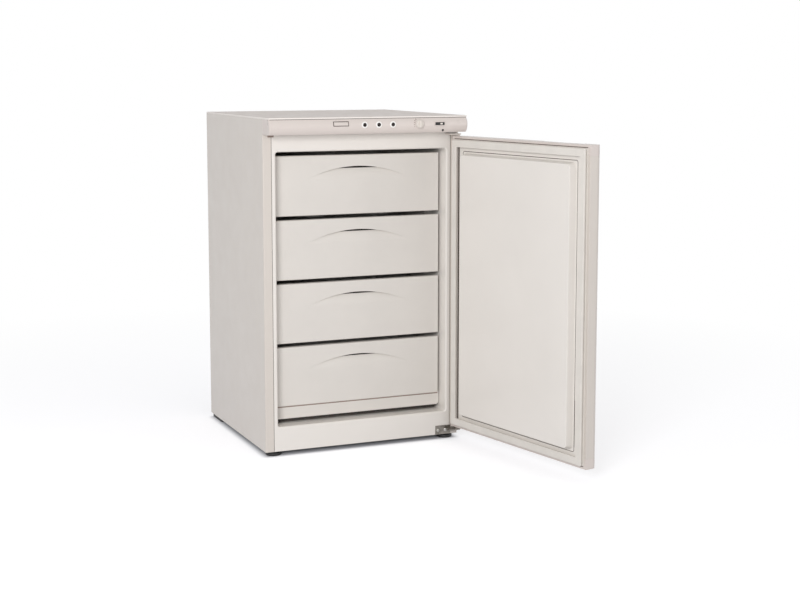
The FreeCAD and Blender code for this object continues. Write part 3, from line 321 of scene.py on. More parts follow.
FINISHES = {
    "enamel": sheet_enamel(),
    "zinc_sheet": zinc_spangle(),
    "liner": liner_sheet(),
    "trim": moulded("fascia_plastic", screen(217, 207, 201), 0.32),
    "drawer": moulded("drawer_plastic", screen(220, 215, 209), 0.38),
    "basket": moulded("basket_plastic", screen(214, 212, 208), 0.42),
    "foam": rigid_foam(),
    "gasket": seal_rubber(),
    "magnet": magnet_strip(),
    "knob": moulded("dial_plastic", screen(222, 214, 206), 0.36),
    "lens": smoked_lens(),
    "black_plastic": moulded("black_plastic", screen(34, 33, 33), 0.45, cloud=0.7),
    "hinge_steel": plated_steel("hinge_plate", screen(112, 108, 102), screen(148, 143, 136)),
    "black_paint": black_paint(),
    "clip": moulded("clip_plastic", screen(198, 195, 190), 0.5),
    "bush": bush_rubber(),
    "copper": drawn_copper(),
    "shelf": coated_wire(),
}
WORKTOP_FINISH = worktop_plastic()
BEZEL_FINISH = moulded("bezel_plastic", screen(248, 246, 242), 0.34)
SCREW_FINISH = plated_steel("bright_screws", screen(196, 195, 190), screen(232, 231, 227))
# Dark print colour for the dial marks and the spare plug, also painting shade into the lowest
# drawer's crease.
PRINT_AND_SHADE_FINISH = moulded("dial_print_and_shade", screen(150, 132, 122), 0.5, cloud=0.9)
# Dark tone that paints shade into seams, grooves and edge lines.
SHADOW_SEAL = moulded("painted_shade_line", screen(84, 72, 66), 0.8, cloud=0.8)
# Near-black tone that paints deep shade under lips.
DEEP_SHADE_FINISH = moulded("painted_deep_shade", screen(46, 40, 37), 0.8, cloud=0.8)


# Making pieces

SHARP = 35                 # degrees between faces: sharper edges are eased and stay crisp
WIRE_SHARP = 70
TUBE_SHARP = 60
LENS_SHARP = 50
FOLD = 20                  # degrees between faces at edges that are rounded by a shape's own width
POT_FOLD = 12
DRIER_FOLD = 25
PLATE_FOLD = 40
FLAT = 1                   # faces that meet at less are one face
TOUCHING = 0.001           # vertices that are closer are one vertex
CAD_TOUCHING = 0.01
ARC_PULL = 4 / 3           # handles of a Bezier arc
FINE = 64                  # steps round a large turned form

# A screw's head, in shares of its radius
HEAD_CELLS = 5
HEAD_RISE = 0.55
HEAD_FALL = 0.2
HEAD_SKIRT = 1.12
HEAD_SUNK = 0.05
CROSS_REACH = 0.6
CROSS_DEPTH = 0.35

# A bolt's head and washer: the thicknesses in millimetres, the rest in shares of its radius
WASHER_EDGE = 1.0
WASHER_THICK = 1.3
WASHER_RADIUS = 1.7
WASHER_TOP = 1.55
BOLT_HEIGHT = 0.8
BOLT_EDGE = 0.15


def at(x, y, z):
    """A place given in millimetres."""
    return Vector((x, y, z)) * MM


def middle_of(node):
    """The middle of a CAD node's box."""
    low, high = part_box(node)
    return (low + high) / 2


def foot_of(node):
    """The middle of the lower face of a CAD node's box."""
    foot = middle_of(node)
    foot.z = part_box(node)[0].z
    return foot


def added(work, before):
    """The vertices that were not there before."""
    return [v for v in work.verts if v not in before]


def edges_of(verts):
    """The edges that meet at any of some vertices."""
    return list({edge for v in verts for edge in v.link_edges})


def faces_of(verts):
    """The faces that meet at any of some vertices."""
    return list({face for v in verts for face in v.link_faces})


def verts_of(geom):
    """The vertices in what an operator gives back."""
    return [item for item in geom if isinstance(item, bmesh.types.BMVert)]


def piece(name, work, slot, body, finish=None, smooth=SHARP, tidy=True):
    """Turn a finished bmesh into an object that rides on a body."""
    if tidy:
        bmesh.ops.remove_doubles(work, verts=work.verts, dist=TOUCHING * MM)
        bmesh.ops.recalc_face_normals(work, faces=work.faces)
    mesh = bpy.data.meshes.new(name)
    work.to_mesh(mesh)
    work.free()
    mesh.shade_smooth()
    mesh.set_sharp_from_angle(angle=math.radians(smooth))
    made = bpy.data.objects.new(name, mesh)
    bpy.context.scene.collection.objects.link(made)
    mesh.materials.append(finish or FINISHES[slot])
    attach(made, body)
    return made


def stand_in(node, work, finish=None, smooth=SHARP, tidy=True):
    """A piece in a CAD node's place, with the node's slot and on its body."""
    made = piece(f"{node}_finished", work, SLOT_OF[node], BODY_OF[node], finish, smooth, tidy)
    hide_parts(node)
    return made


def eased(work, geom, width, segments=2, affect="EDGES"):
    """Round chosen edges, or chosen corners of a flat face, by a width in millimetres."""
    bmesh.ops.bevel(work, geom=geom, offset=width * MM, offset_type="OFFSET", segments=segments,
                    profile=0.5, affect=affect, clamp_overlap=True, material=-1)


def steep(work, angle):
    """Edges where two faces meet at more than an angle."""
    limit = math.radians(angle)
    return [e for e in work.edges if e.is_manifold and e.calc_face_angle(0) > limit]


def dressed(node, edge, smooth=SHARP, finish=None, rounder=None, width=0.0):
    """A merged copy of a CAD node with eased edges and smooth rounds, in the node's place.

    Edges whose middle passes rounder get a wider, rounder bevel first.
    """
    work = bmesh.new()
    work.from_mesh(frame["nodes"][node].data)
    bmesh.ops.remove_doubles(work, verts=work.verts, dist=CAD_TOUCHING * MM)
    bmesh.ops.dissolve_limit(work, angle_limit=math.radians(FLAT), verts=work.verts,
                             edges=work.edges)
    if rounder:
        folds = steep(work, FOLD)
        chosen = [e for e in folds if rounder((e.verts[0].co + e.verts[1].co) / 2)]
        eased(work, chosen, width, segments=4)
    if edge:
        eased(work, steep(work, smooth), edge)
    made = stand_in(node, work, finish, smooth, tidy=False)
    flat_faces = made.modifiers.new("flat_faces", "WEIGHTED_NORMAL")
    flat_faces.keep_sharp = True


def turned_to(axis, place):
    """Carries a form made along +Z to a place, pointing along an axis."""
    return Matrix.Translation(place) @ Z.rotation_difference(axis).to_matrix().to_4x4()


def spun(work, place, axis, profile, steps=32, hoop=False):
    """Add a turned form; profile is (distance along the axis, radius) from end to end.

    A hoop's profile closes on itself.
    """
    before = set(work.verts)
    line = [work.verts.new(at(radius, 0, along)) for along, radius in profile]
    pairs = list(zip(line, line[1:]))
    if hoop:
        pairs.append((line[-1], line[0]))
    edges = [work.edges.new(pair) for pair in pairs]
    bmesh.ops.spin(work, geom=line + edges, cent=(0, 0, 0), axis=Z, angle=2 * math.pi, steps=steps,
                   use_merge=True)
    bmesh.ops.remove_doubles(work, verts=added(work, before), dist=TOUCHING * MM)
    bmesh.ops.transform(work, matrix=turned_to(axis, place), verts=added(work, before))


def screw(work, place, axis, radius):
    """Add a pan head with a cross recess."""
    before = set(work.verts)
    bmesh.ops.create_grid(work, x_segments=HEAD_CELLS, y_segments=HEAD_CELLS, size=1)
    fresh = added(work, before)
    rim = [e for e in edges_of(fresh) if e.is_boundary]
    arms = [face for face in faces_of(fresh)
            if sum(abs(c) for c in face.calc_center_median().xy) < CROSS_REACH]
    for v in fresh:
        if v.is_boundary:
            v.co = v.co.normalized()
        v.co.z = HEAD_RISE - HEAD_FALL * v.co.length_squared
    skirt = bmesh.ops.extrude_edge_only(work, edges=rim)["geom"]
    for v in verts_of(skirt):
        v.co = Vector((v.co.x * HEAD_SKIRT, v.co.y * HEAD_SKIRT, -HEAD_SUNK))
    pocket = bmesh.ops.extrude_face_region(work, geom=arms)["geom"]
    for v in verts_of(pocket):
        v.co.z -= CROSS_DEPTH
    fresh = added(work, before)
    bmesh.ops.scale(work, vec=Vector((1, 1, 1)) * radius * MM, verts=fresh)
    bmesh.ops.transform(work, matrix=turned_to(axis, place), verts=fresh)


def hex_bolt(work, place, axis, radius):
    """Add a six-sided head on a washer."""
    wide, top = WASHER_RADIUS * radius, WASHER_TOP * radius
    spun(work, place, axis,
         [(0, 0), (0, wide), (WASHER_EDGE, wide), (WASHER_THICK, top), (WASHER_THICK, 0)])
    before = set(work.verts)
    height = BOLT_HEIGHT * radius
    bmesh.ops.create_cone(work, cap_ends=True, segments=6, radius1=radius * MM, radius2=radius * MM,
                          depth=height * MM)
    fresh = added(work, before)
    upper = [e for e in edges_of(fresh) if all(v.co.z > 0 for v in e.verts)]
    bmesh.ops.translate(work, vec=at(0, 0, WASHER_THICK + height / 2), verts=fresh)
    eased(work, upper, BOLT_EDGE * radius)
    bmesh.ops.transform(work, matrix=turned_to(axis, place), verts=added(work, before))


def block(work, low, high, round_by=0.0):
    """Add a box between two corners, with its edges rounded."""
    before = set(work.verts)
    bmesh.ops.create_cube(work, size=1)
    fresh = added(work, before)
    bmesh.ops.scale(work, vec=high - low, verts=fresh)
    bmesh.ops.translate(work, vec=(high + low) / 2, verts=fresh)
    if round_by:
        eased(work, edges_of(fresh), round_by, segments=3)


def sheet(work, columns, rows, place):
    """Add a grid of faces; place turns shares of its width and height into points."""
    before = set(work.verts)
    bmesh.ops.create_grid(work, x_segments=columns, y_segments=rows, size=0.5)
    fresh = added(work, before)
    for v in fresh:
        v.co = place(v.co.x + 0.5, v.co.y + 0.5)
    return fresh


def thickened(work, faces, thick):
    """Give an open sheet of faces a thickness towards the back."""
    made = bmesh.ops.extrude_face_region(work, geom=faces)["geom"]
    bmesh.ops.translate(work, vec=at(0, thick, 0), verts=verts_of(made))


def bent_run(corners, bend):
    """Knots with their two handles, for straight runs with round bends between them."""
    knots = [[corners[0]] * 3]
    for before, corner, after in zip(corners, corners[1:], corners[2:]):
        into, out = corner - before, after - corner
        half_turn = into.angle(out) / 2
        cut = min(bend * MM * math.tan(half_turn), into.length / 2, out.length / 2)
        pull = cut * ARC_PULL * math.tan(half_turn / 2) / math.tan(half_turn)
        into.normalize()
        out.normalize()
        first, last = corner - into * cut, corner + out * cut
        if (first - knots[-1][1]).length < CAD_TOUCHING * MM:
            knots[-1][2] = first + into * pull
        else:
            knots.append([first, first, first + into * pull])
        knots.append([last - out * pull, last, last])
    knots.append([corners[-1]] * 3)
    return knots


def pipe(node, corners, bend, radius):
    """A smooth tube along the corners of its run, in a CAD tube's place."""
    curve = bpy.data.curves.new(node, "CURVE")
    curve.dimensions = "3D"
    curve.bevel_depth = radius * MM
    curve.bevel_resolution = 3
    curve.resolution_u = 8
    curve.use_fill_caps = True
    knots = bent_run(corners, bend)
    spline = curve.splines.new("BEZIER")
    spline.bezier_points.add(len(knots) - 1)
    for point, (left, middle, right) in zip(spline.bezier_points, knots):
        point.handle_left_type = point.handle_right_type = "FREE"
        point.handle_left, point.co, point.handle_right = left, middle, right
    holder = bpy.data.objects.new(node, curve)
    bpy.context.scene.collection.objects.link(holder)
    bpy.context.view_layer.update()
    shown = holder.evaluated_get(bpy.context.evaluated_depsgraph_get())
    mesh = bpy.data.meshes.new_from_object(shown)
    work = bmesh.new()
    work.from_mesh(mesh)
    bpy.data.objects.remove(holder)
    bpy.data.curves.remove(curve)
    bpy.data.meshes.remove(mesh)
    stand_in(node, work, smooth=TUBE_SHARP)


# Cabinet, fascia and drawers: CAD forms with eased edges

MOUTH_HALF = 236.0
MOUTH_LOW = 69.0
MOUTH_HIGH = 769.0
MOUTH_LIP = 4.0            # from the foam's front to the back of the lip
FASCIA_END = 260.0
FASCIA_BEVEL = -533.0
EASED = {
    "left_side_panel": 0.3, "right_side_panel": 0.3, "back_panel": 0.2, "top_panel": 0.2,
    "base_panel": 0.2, "machine_room_panel": 0.2, "thermostat_body": 0.3, "thermostat_knob": 0.5,
    "switch_housing": 0.35, "fast_freeze_switch": 0.5, "lower_hinge": 0.4, "rear_skid": 0.8,
    "compressor_plate": 0.3, "compressor_foot_plate": 0.4, "relay_cover": 0.9,
    "condenser_brackets": 0.6, "door_skin": 0.3, "door_top_cap": 1.5, "door_bottom_cap": 1.5,
    "door_liner": 2.0, "door_gasket": 1.6, "fascia_plug": 0.4, "cord_gland": 0.5,
    "upper_hinge": 0.4,
}


def on_mouth_lip(place):
    """The bevel round the cold space's mouth."""
    in_front = place.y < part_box("cabinet_foam")[0].y + MOUTH_LIP * MM
    in_mouth = abs(place.x) < MOUTH_HALF * MM and MOUTH_LOW * MM < place.z < MOUTH_HIGH * MM
    return in_front and in_mouth


def on_fascia_end(place):
    """The bevels at the fascia's two ends."""
    return abs(place.x) > FASCIA_END * MM and place.y < FASCIA_BEVEL * MM


for node, edge in EASED.items():
    dressed(node, edge)
dressed("inner_liner", edge=0.4, rounder=on_mouth_lip, width=1.5)
dressed("control_fascia", edge=0.5, rounder=on_fascia_end, width=1.8)
dressed("worktop", edge=0.4, finish=WORKTOP_FINISH)
for n in DRAWERS:
    dressed(f"drawer_front_{n}", edge=0.8)
    dressed(f"drawer_basket_{n}", edge=0.5)
for side in ("left", "right"):
    dressed(f"front_foot_{side}", edge=0.5)
for n in SHELVES:
    dressed(f"shelf_wires_{n}", edge=0, smooth=WIRE_SHARP)
dressed("condenser_wires", edge=0, smooth=WIRE_SHARP)

# Hidden cores keep the CAD mesh and get their finish.
for node in ("cabinet_foam", "door_foam", "gasket_magnets", "foot_socket_left",
             "foot_socket_right"):
    core = frame["nodes"][node]
    core.data.materials.clear()
    core.data.materials.append(FINISHES[SLOT_OF[node]])


# Cooling set: smooth tubes, pot, bushes and drier

COIL_TUBE = 3.0            # radii of the tubes
SHELF_TUBE = 4.0
CAPILLARY = 1.5
LINE_BEND = 10.0
TUBE_SIDES = 8             # of the CAD's tubes, which stand on a flat side
SHELF_PASSES = 4
SHELF_TAIL = 36.0          # from a shelf's rear bends to the tube's ends
CONDENSER_PASSES = 10
CONDENSER_HALF = 205.0
CONDENSER_Y = 16.0
CONDENSER_TOP = 770.0
CONDENSER_LOW = 250.0
DRIER_X = -220.0
DRIER_LOW = 135.0
DRIER_HIGH = 225.0
POT_LINES = 94.0           # height at which lines leave the pot
DISCHARGE_X = 80.0
DISCHARGE_Y = -21.1
DISCHARGE_RISER = -240.0
CAPILLARY_LOW = 110.0
CAPILLARY_RISER = -87.5
SUCTION_X = 147.4
SUCTION_Y = -88.5
SUCTION_RISER = 172.4
POT_RADIUS = 68.0
POT_HEIGHT = 143.0
POT_SEAM = 0.54            # share of the pot's height
POT_EDGE = 6.0
MOUNT_RADIUS = 11.0
MOUNT_BOLT = 4.5
DRIER_EDGE = 2.0
POT_SHAPE = [(0, 0), (0, 0.62), (0.06, 0.87), (0.2, 1), (0.72, 1), (0.87, 0.88), (0.96, 0.62),
             (1, 0.25), (1, 0)]
HOOP_SHAPE = [(0, 66), (0, 70.6), (0.4, 71), (2.6, 71), (3, 70.6), (3, 66)]
BUSH_SHAPE = [(0, 0), (0, 9.6), (1.2, 11), (4.6, 11), (5.8, 9.2), (8.2, 9.2), (9.4, 11),
              (12.8, 11), (14, 9.6), (14, 0)]
DRIER_SHAPE = [(0, 0), (0, 3), (3, 3), (11, 8.8), (79, 8.8), (87, 3), (90, 3), (90, 0)]


def back_and_forth(count, first, last, start, step, place):
    """Corners of a coil's passes between two ends; place turns (along, across) into a point."""
    corners = []
    for n in range(count):
        ends = (first, last) if n % 2 == 0 else (last, first)
        corners += [place(end, start + n * step) for end in ends]
    return corners


def condenser():
    """The coil on the back, down to the drier, and the line that feeds it."""
    back = CONDENSER_Y
    step = (CONDENSER_LOW - CONDENSER_TOP) / (CONDENSER_PASSES - 1)
    passes = back_and_forth(CONDENSER_PASSES, -CONDENSER_HALF, CONDENSER_HALF, CONDENSER_TOP, step,
                            lambda x, z: at(x, back, z))
    passes[-1] = at(DRIER_X, back, CONDENSER_LOW)
    passes.append(at(DRIER_X, back, DRIER_HIGH))
    pipe("condenser_tube", passes, CONDENSER_HALF, COIL_TUBE)
    feed = [at(DISCHARGE_X, DISCHARGE_Y, POT_LINES), at(DISCHARGE_X, back, POT_LINES),
            at(DISCHARGE_RISER, back, POT_LINES), at(DISCHARGE_RISER, back, CONDENSER_TOP),
            at(-CONDENSER_HALF, back, CONDENSER_TOP)]
    pipe("discharge_line", feed, LINE_BEND, COIL_TUBE)


def machine_room_lines():
    """The two lines that leave through the machine room's roof."""
    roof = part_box("suction_line")[1].z / MM
    from_drier = [at(DRIER_X, CONDENSER_Y, DRIER_LOW), at(DRIER_X, CONDENSER_Y, CAPILLARY_LOW),
                  at(DRIER_X, CAPILLARY_RISER, CAPILLARY_LOW), at(DRIER_X, CAPILLARY_RISER, roof)]
    pipe("capillary", from_drier, LINE_BEND, CAPILLARY)
    to_pot = [at(SUCTION_X, SUCTION_Y, POT_LINES), at(SUCTION_RISER, SUCTION_Y, POT_LINES),
              at(SUCTION_RISER, SUCTION_Y, roof)]
    pipe("suction_line", to_pot, LINE_BEND, COIL_TUBE)


def shelf_coil(n):
    """The tube of a shelf, whose two ends reach the back."""
    node = f"shelf_coil_{n}"
    low, high = [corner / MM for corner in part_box(node)]
    z = (low.z + high.z) / 2
    flat = SHELF_TUBE * math.cos(math.pi / TUBE_SIDES)
    reach = high.x - flat
    front, rear = low.y + flat, high.y - SHELF_TAIL
    step = 2 * reach / (SHELF_PASSES - 1)
    passes = back_and_forth(SHELF_PASSES, rear, front, -reach, step, lambda y, x: at(x, y, z))
    passes[0].y = passes[-1].y = high.y * MM
    pipe(node, passes, reach, SHELF_TUBE)


def compressor():
    """The pot with its welded seam, and the bolted bushes that carry it."""
    base = foot_of("compressor_shell")
    work = bmesh.new()
    pot = [(rise * POT_HEIGHT, reach * POT_RADIUS) for rise, reach in POT_SHAPE]
    spun(work, base, Z, pot, FINE)
    eased(work, steep(work, POT_FOLD), POT_EDGE, segments=4)
    spun(work, base + at(0, 0, POT_SEAM * POT_HEIGHT), Z, HOOP_SHAPE, FINE, hoop=True)
    stand_in("compressor_shell", work)

    low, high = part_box("compressor_mounts")
    plate_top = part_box("compressor_foot_plate")[1].z
    inset = MOUNT_RADIUS * MM
    bushes, bolts = bmesh.new(), bmesh.new()
    for x in (low.x + inset, high.x - inset):
        for y in (low.y + inset, high.y - inset):
            spun(bushes, Vector((x, y, low.z)), Z, BUSH_SHAPE)
            hex_bolt(bolts, Vector((x, y, plate_top)), Z, MOUNT_BOLT)
    stand_in("compressor_mounts", bushes)
    piece("compressor_bolts", bolts, "hinge_steel", "cabinet", SCREW_FINISH)


def filter_drier():
    """The copper cartridge between coil and capillary."""
    work = bmesh.new()
    spun(work, foot_of("filter_drier"), Z, DRIER_SHAPE)
    eased(work, steep(work, DRIER_FOLD), DRIER_EDGE, segments=3)
    stand_in("filter_drier", work)


condenser()
machine_room_lines()
for n in SHELVES:
    shelf_coil(n)
compressor()
filter_drier()


# Controls and trim on the fascia, dark joints on the frame and dark lines, all painted shade

FASCIA_CROWN = -542.0
FASCIA_MIDDLE = 827.0
FASCIA_BOW = 26.56         # radius of the bowed front
LENS_SHAPE = [(-12, 0), (-12, 4), (-0.4, 4), (-0.4, 4.8), (0.8, 4.8), (1.2, 4.4), (1.8, 2.4),
              (2.0, 0)]
BEZEL_SHAPE = [(-3, 4.9), (0.7, 4.9), (1.0, 5.3), (1.1, 6.4), (0.7, 7.7), (0, 8.2), (-3, 8.2)]
BEZEL_STEPS = 40
PLATE_LEFT = -101.0
PLATE_RIGHT = -60.0
PLATE_LOW = 827.2
PLATE_HIGH = 839.4
PLATE_RIM = 1.8            # width of the frame round the bare plate
PLATE_PROUD = 0.9
PLATE_FRAME_PROUD = 0.5
PLATE_THICK = 1.2
PLATE_ROWS = 10
PLATE_EDGE = 0.25
MARKS = 5
MARK_REACH = 14.5          # from the dial's axis
MARK_START = 205.0         # degrees
MARK_STEP = 20.0
MARK_RADIUS = 0.9
MARK_GROWTH = 0.15
MARK_SHAPE = [(-0.5, 0), (-0.5, 1), (0.2, 1), (0.35, 0.6), (0.4, 0)]
MARK_STEPS = 16
ROCKER_AXIS = -538.5
ROCKER_RIDGE = -4.2        # in front of the axis
ROCKER_HALF = 12.0
ROCKER_HOLLOW = 1.3        # ridge behind the tips
ROCKER_TILT = 8.0          # degrees
# A pale patch on the rocker's right half, a painted highlight:
ROCKER_HIGHLIGHT_BOX = at(1.6, -0.35, -2.1), at(7.8, 1.0, 2.1)
ROCKER_HIGHLIGHT_EDGE = 0.3
FRAME_FRONT = -485.0
JOINT_X = 242.5
JOINT_HALF = 0.5
JOINT_FRONT = FRAME_FRONT + 0.1
JOINT_BACK = FRAME_FRONT + 1.5
JOINT_LOW = 13.0
JOINT_HIGH = 821.0
# A dark strip under the worktop's nose, as painted shade:
WORKTOP_SHADE_LINE = at(-262.5, -535.1, 844.6), at(262.5, -532, 845.95)
WORKTOP_SHADE_LINE_EDGE = 0.2
PLUG_HALF = 8.0
PLUG_PROUD = 1.0
PLUG_LOW = 801.0
PLUG_HIGH = 806.5
PLUG_EDGE = 0.9


def fascia_front(z):
    """The bowed front's place along Y at a height, in millimetres."""
    return FASCIA_CROWN + FASCIA_BOW - math.sqrt(FASCIA_BOW ** 2 - (z - FASCIA_MIDDLE) ** 2)


def bowed_plate(inset, proud):
    """A thin plate bent to the fascia's front, inset from the name plate's outline."""
    left, right = PLATE_LEFT + inset, PLATE_RIGHT - inset
    low, high = PLATE_LOW + inset, PLATE_HIGH - inset

    def place(across, up):
        z = low + (high - low) * up
        return at(left + (right - left) * across, fascia_front(z) - proud, z)

    work = bmesh.new()
    sheet(work, 1, PLATE_ROWS, place)
    thickened(work, list(work.faces), PLATE_THICK)
    eased(work, steep(work, PLATE_FOLD), PLATE_EDGE)
    return work


def indicator_lamps():
    """Domed lenses, each in a turned bezel."""
    for n in LAMPS:
        node = f"indicator_lens_{n}"
        place = middle_of(node)
        place.y = FASCIA_CROWN * MM
        work = bmesh.new()
        spun(work, place, -Y, LENS_SHAPE)
        stand_in(node, work, smooth=LENS_SHARP)
        work = bmesh.new()
        spun(work, place, -Y, BEZEL_SHAPE, BEZEL_STEPS, hoop=True)
        piece(f"lamp_bezel_{n}", work, "knob", "cabinet", BEZEL_FINISH, LENS_SHARP)


def name_plate():
    """A plate left bare in a dark frame; the frame's dark tone is painted shade along the plate's
    edges.
    """
    work = bowed_plate(0, PLATE_FRAME_PROUD)
    piece("plate_shade_frame", work, "black_plastic", "cabinet", SHADOW_SEAL)
    work = bowed_plate(PLATE_RIM, PLATE_PROUD)
    piece("bare_plate", work, "trim", "cabinet")


def frame_seam_shade():
    """Dark strips in the joints between the steel edges and the liner's flange, painted shade in
    the gaps.
    """
    work = bmesh.new()
    for x in (-JOINT_X, JOINT_X):
        block(work, at(x - JOINT_HALF, JOINT_FRONT, JOINT_LOW),
              at(x + JOINT_HALF, JOINT_BACK, JOINT_HIGH))
    piece("frame_seam_shade", work, "black_plastic", "cabinet", SHADOW_SEAL)


def dial_marks():
    """Raised dots beside the dial that grow from low to high."""
    dial = middle_of("thermostat_knob") / MM
    work = bmesh.new()
    for n in range(MARKS):
        angle = math.radians(MARK_START - MARK_STEP * n)
        x, z = dial.x + MARK_REACH * math.cos(angle), dial.z + MARK_REACH * math.sin(angle)
        place = at(x, fascia_front(z), z)
        out = (place - at(x, FASCIA_CROWN + FASCIA_BOW, FASCIA_MIDDLE)).normalized()
        radius = MARK_RADIUS + MARK_GROWTH * n
        dot = [(along, share * radius) for along, share in MARK_SHAPE]
        spun(work, place, out, dot, MARK_STEPS)
    piece("dial_marks", work, "black_plastic", "cabinet", PRINT_AND_SHADE_FINISH)


def rocker_highlight():
    """Pale patch on the rocker's right half, a painted highlight where that half catches the light.
    """
    axis = middle_of("switch_housing")
    axis.y = ROCKER_AXIS * MM
    work = bmesh.new()
    block(work, *ROCKER_HIGHLIGHT_BOX, ROCKER_HIGHLIGHT_EDGE)
    lean = Matrix.Rotation(math.atan2(-ROCKER_HOLLOW, ROCKER_HALF), 4, "Z")
    tip = Matrix.Rotation(math.radians(-ROCKER_TILT), 4, "Z")
    ridge = Matrix.Translation(at(0, ROCKER_RIDGE, 0))
    seat = Matrix.Translation(axis) @ tip @ ridge @ lean
    bmesh.ops.transform(work, matrix=seat, verts=work.verts)
    piece("rocker_highlight", work, "knob", "switch")


def worktop_shade_line():
    """Dark strip in the seam between worktop and fascia, painted shade under the worktop's nose."""
    work = bmesh.new()
    block(work, *WORKTOP_SHADE_LINE, WORKTOP_SHADE_LINE_EDGE)
    piece("worktop_shade_line", work, "black_plastic", "cabinet", SHADOW_SEAL)


def spare_hinge_plug():
    """Plug in the hinge hole of the other side."""
    x = -middle_of("upper_hinge").x / MM
    work = bmesh.new()
    block(work, at(x - PLUG_HALF, FRAME_FRONT - PLUG_PROUD, PLUG_LOW),
          at(x + PLUG_HALF, FRAME_FRONT + PLUG_PROUD, PLUG_HIGH), PLUG_EDGE)
    piece("spare_hinge_plug", work, "black_plastic", "cabinet", PRINT_AND_SHADE_FINISH)


indicator_lamps()
name_plate()
frame_seam_shade()
dial_marks()
rocker_highlight()
worktop_shade_line()
spare_hinge_plug()


# Painted shade lines on the door and on the drawers

DOOR_OPEN = 101.0          # degrees
DOOR_PIVOT = at(255, -507, 0)
PANEL_FOOT = (-217, 217, 74, 755)      # left, right, low and high edge, with the door shut
INNER_PANEL = -497.0
# The ring and lines below paint shade on the door's inner panel:
SHADE_RING_OUT = 4.6             # outside the panel's foot
SHADE_RING_WIDTH = 1.5
SHADE_RING_CORNER = 6.0
SHADE_RING_SUNK = 0.1
SHADE_RING_PROUD = 0.2
FREE_LINE_EXTRA = 0.8      # the ring's free side is wider between two heights over the foot
FREE_LINE_LOW = 8.0
FREE_LINE_HIGH = 120.0
HINGE_LINE_LEFT = 236.0
HINGE_LINE_RIGHT = 241.5
HINGE_LINE_UNDER = 13.5    # past the panel's foot
HINGE_LINE_OVER = 16.5
CAP_LINES = (789.0, 41.4)
CAP_LINE_HALF = 256.0
CAP_LINE_HEIGHT = 1.6
CAP_LINE_FRONT = INNER_PANEL + 0.9
CAP_LINE_BACK = INNER_PANEL + 1.15
GRIP_ARCH = 320.0          # radius of the arched lip
GRIP_DROP = 29.0           # from the front's top edge to the arch's crown
GRIP_HEIGHT = 36.0
GRIP_ROLL = 64.4           # radius of the scoop's floor
DRAWER_FACE = -450.0
# The next numbers place a dark sheet under each drawer's arched lip, as painted shade.
GRIP_SHADE_HALF = 55.0
GRIP_SHADE_HEIGHT = 4.8
GRIP_SHADE_END = 0.3             # height left at the painted shade's ends
GRIP_SHADE_UNDER = 0.1           # from the lip to the painted shade
GRIP_SHADE_PROUD = 0.2
GRIP_SHADE_THICK = 0.8
GRIP_SHADE_COLUMNS = 24
GRIP_SHADE_ROWS = 4
STRIP_FACE = -446.0
STRIP_PROUD = 0.2
CREASE_HALF = 226.0
CREASE_LOW = 29.0          # over the lowest front's lower edge
CREASE_HIGH = 32.0
# The next numbers place a dark sheet under the lowest drawer's strip, as painted shadow.
UNDER_STRIP_LEFT = -221.0
UNDER_STRIP_RIGHT = 215.0
UNDER_STRIP_LOW = -5.2
UNDER_STRIP_HIGH = 0.1
UNDER_STRIP_THICK = 2.0
UNDER_STRIP_EDGE = 0.4


def shade_ring(left, right, low, high):
    """A flat dark ring with round corners on the door's inner panel, for painted shade."""
    work = bmesh.new()
    corners = sheet(work, 1, 1, lambda across, up: at(
        left + (right - left) * across, INNER_PANEL - SHADE_RING_SUNK, low + (high - low) * up))
    eased(work, corners, SHADE_RING_CORNER, segments=6, affect="VERTICES")
    inner = list(work.faces)
    band = bmesh.ops.inset_region(work, faces=inner, thickness=SHADE_RING_WIDTH * MM, use_boundary=True,
                                  use_even_offset=True)["faces"]
    bmesh.ops.delete(work, geom=inner, context="FACES")
    thickened(work, band, SHADE_RING_SUNK + SHADE_RING_PROUD)
    return work


def door_shade_lines():
    """Painted shade lines round the raised panel, by the gasket on the hinge side and at the joints
    along both caps.
    """
    left, right, low, high = PANEL_FOOT
    ring_left = left - SHADE_RING_OUT
    front, back = INNER_PANEL - SHADE_RING_SUNK, INNER_PANEL + SHADE_RING_PROUD
    work = shade_ring(ring_left, right + SHADE_RING_OUT, low - SHADE_RING_OUT, high + SHADE_RING_OUT)
    block(work, at(ring_left - FREE_LINE_EXTRA, front, low + FREE_LINE_LOW),
          at(ring_left + SHADE_RING_WIDTH, back, low + FREE_LINE_HIGH))
    block(work, at(HINGE_LINE_LEFT, front, low - HINGE_LINE_UNDER),
          at(HINGE_LINE_RIGHT, back, high + HINGE_LINE_OVER))
    for z in CAP_LINES:
        block(work, at(-CAP_LINE_HALF, CAP_LINE_FRONT, z),
              at(CAP_LINE_HALF, CAP_LINE_BACK, z + CAP_LINE_HEIGHT))
    turn = Matrix.Rotation(math.radians(DOOR_OPEN), 3, "Z")
    bmesh.ops.rotate(work, cent=DOOR_PIVOT, matrix=turn, verts=work.verts)
    piece("door_shade_lines", work, "black_plastic", "door", SHADOW_SEAL)


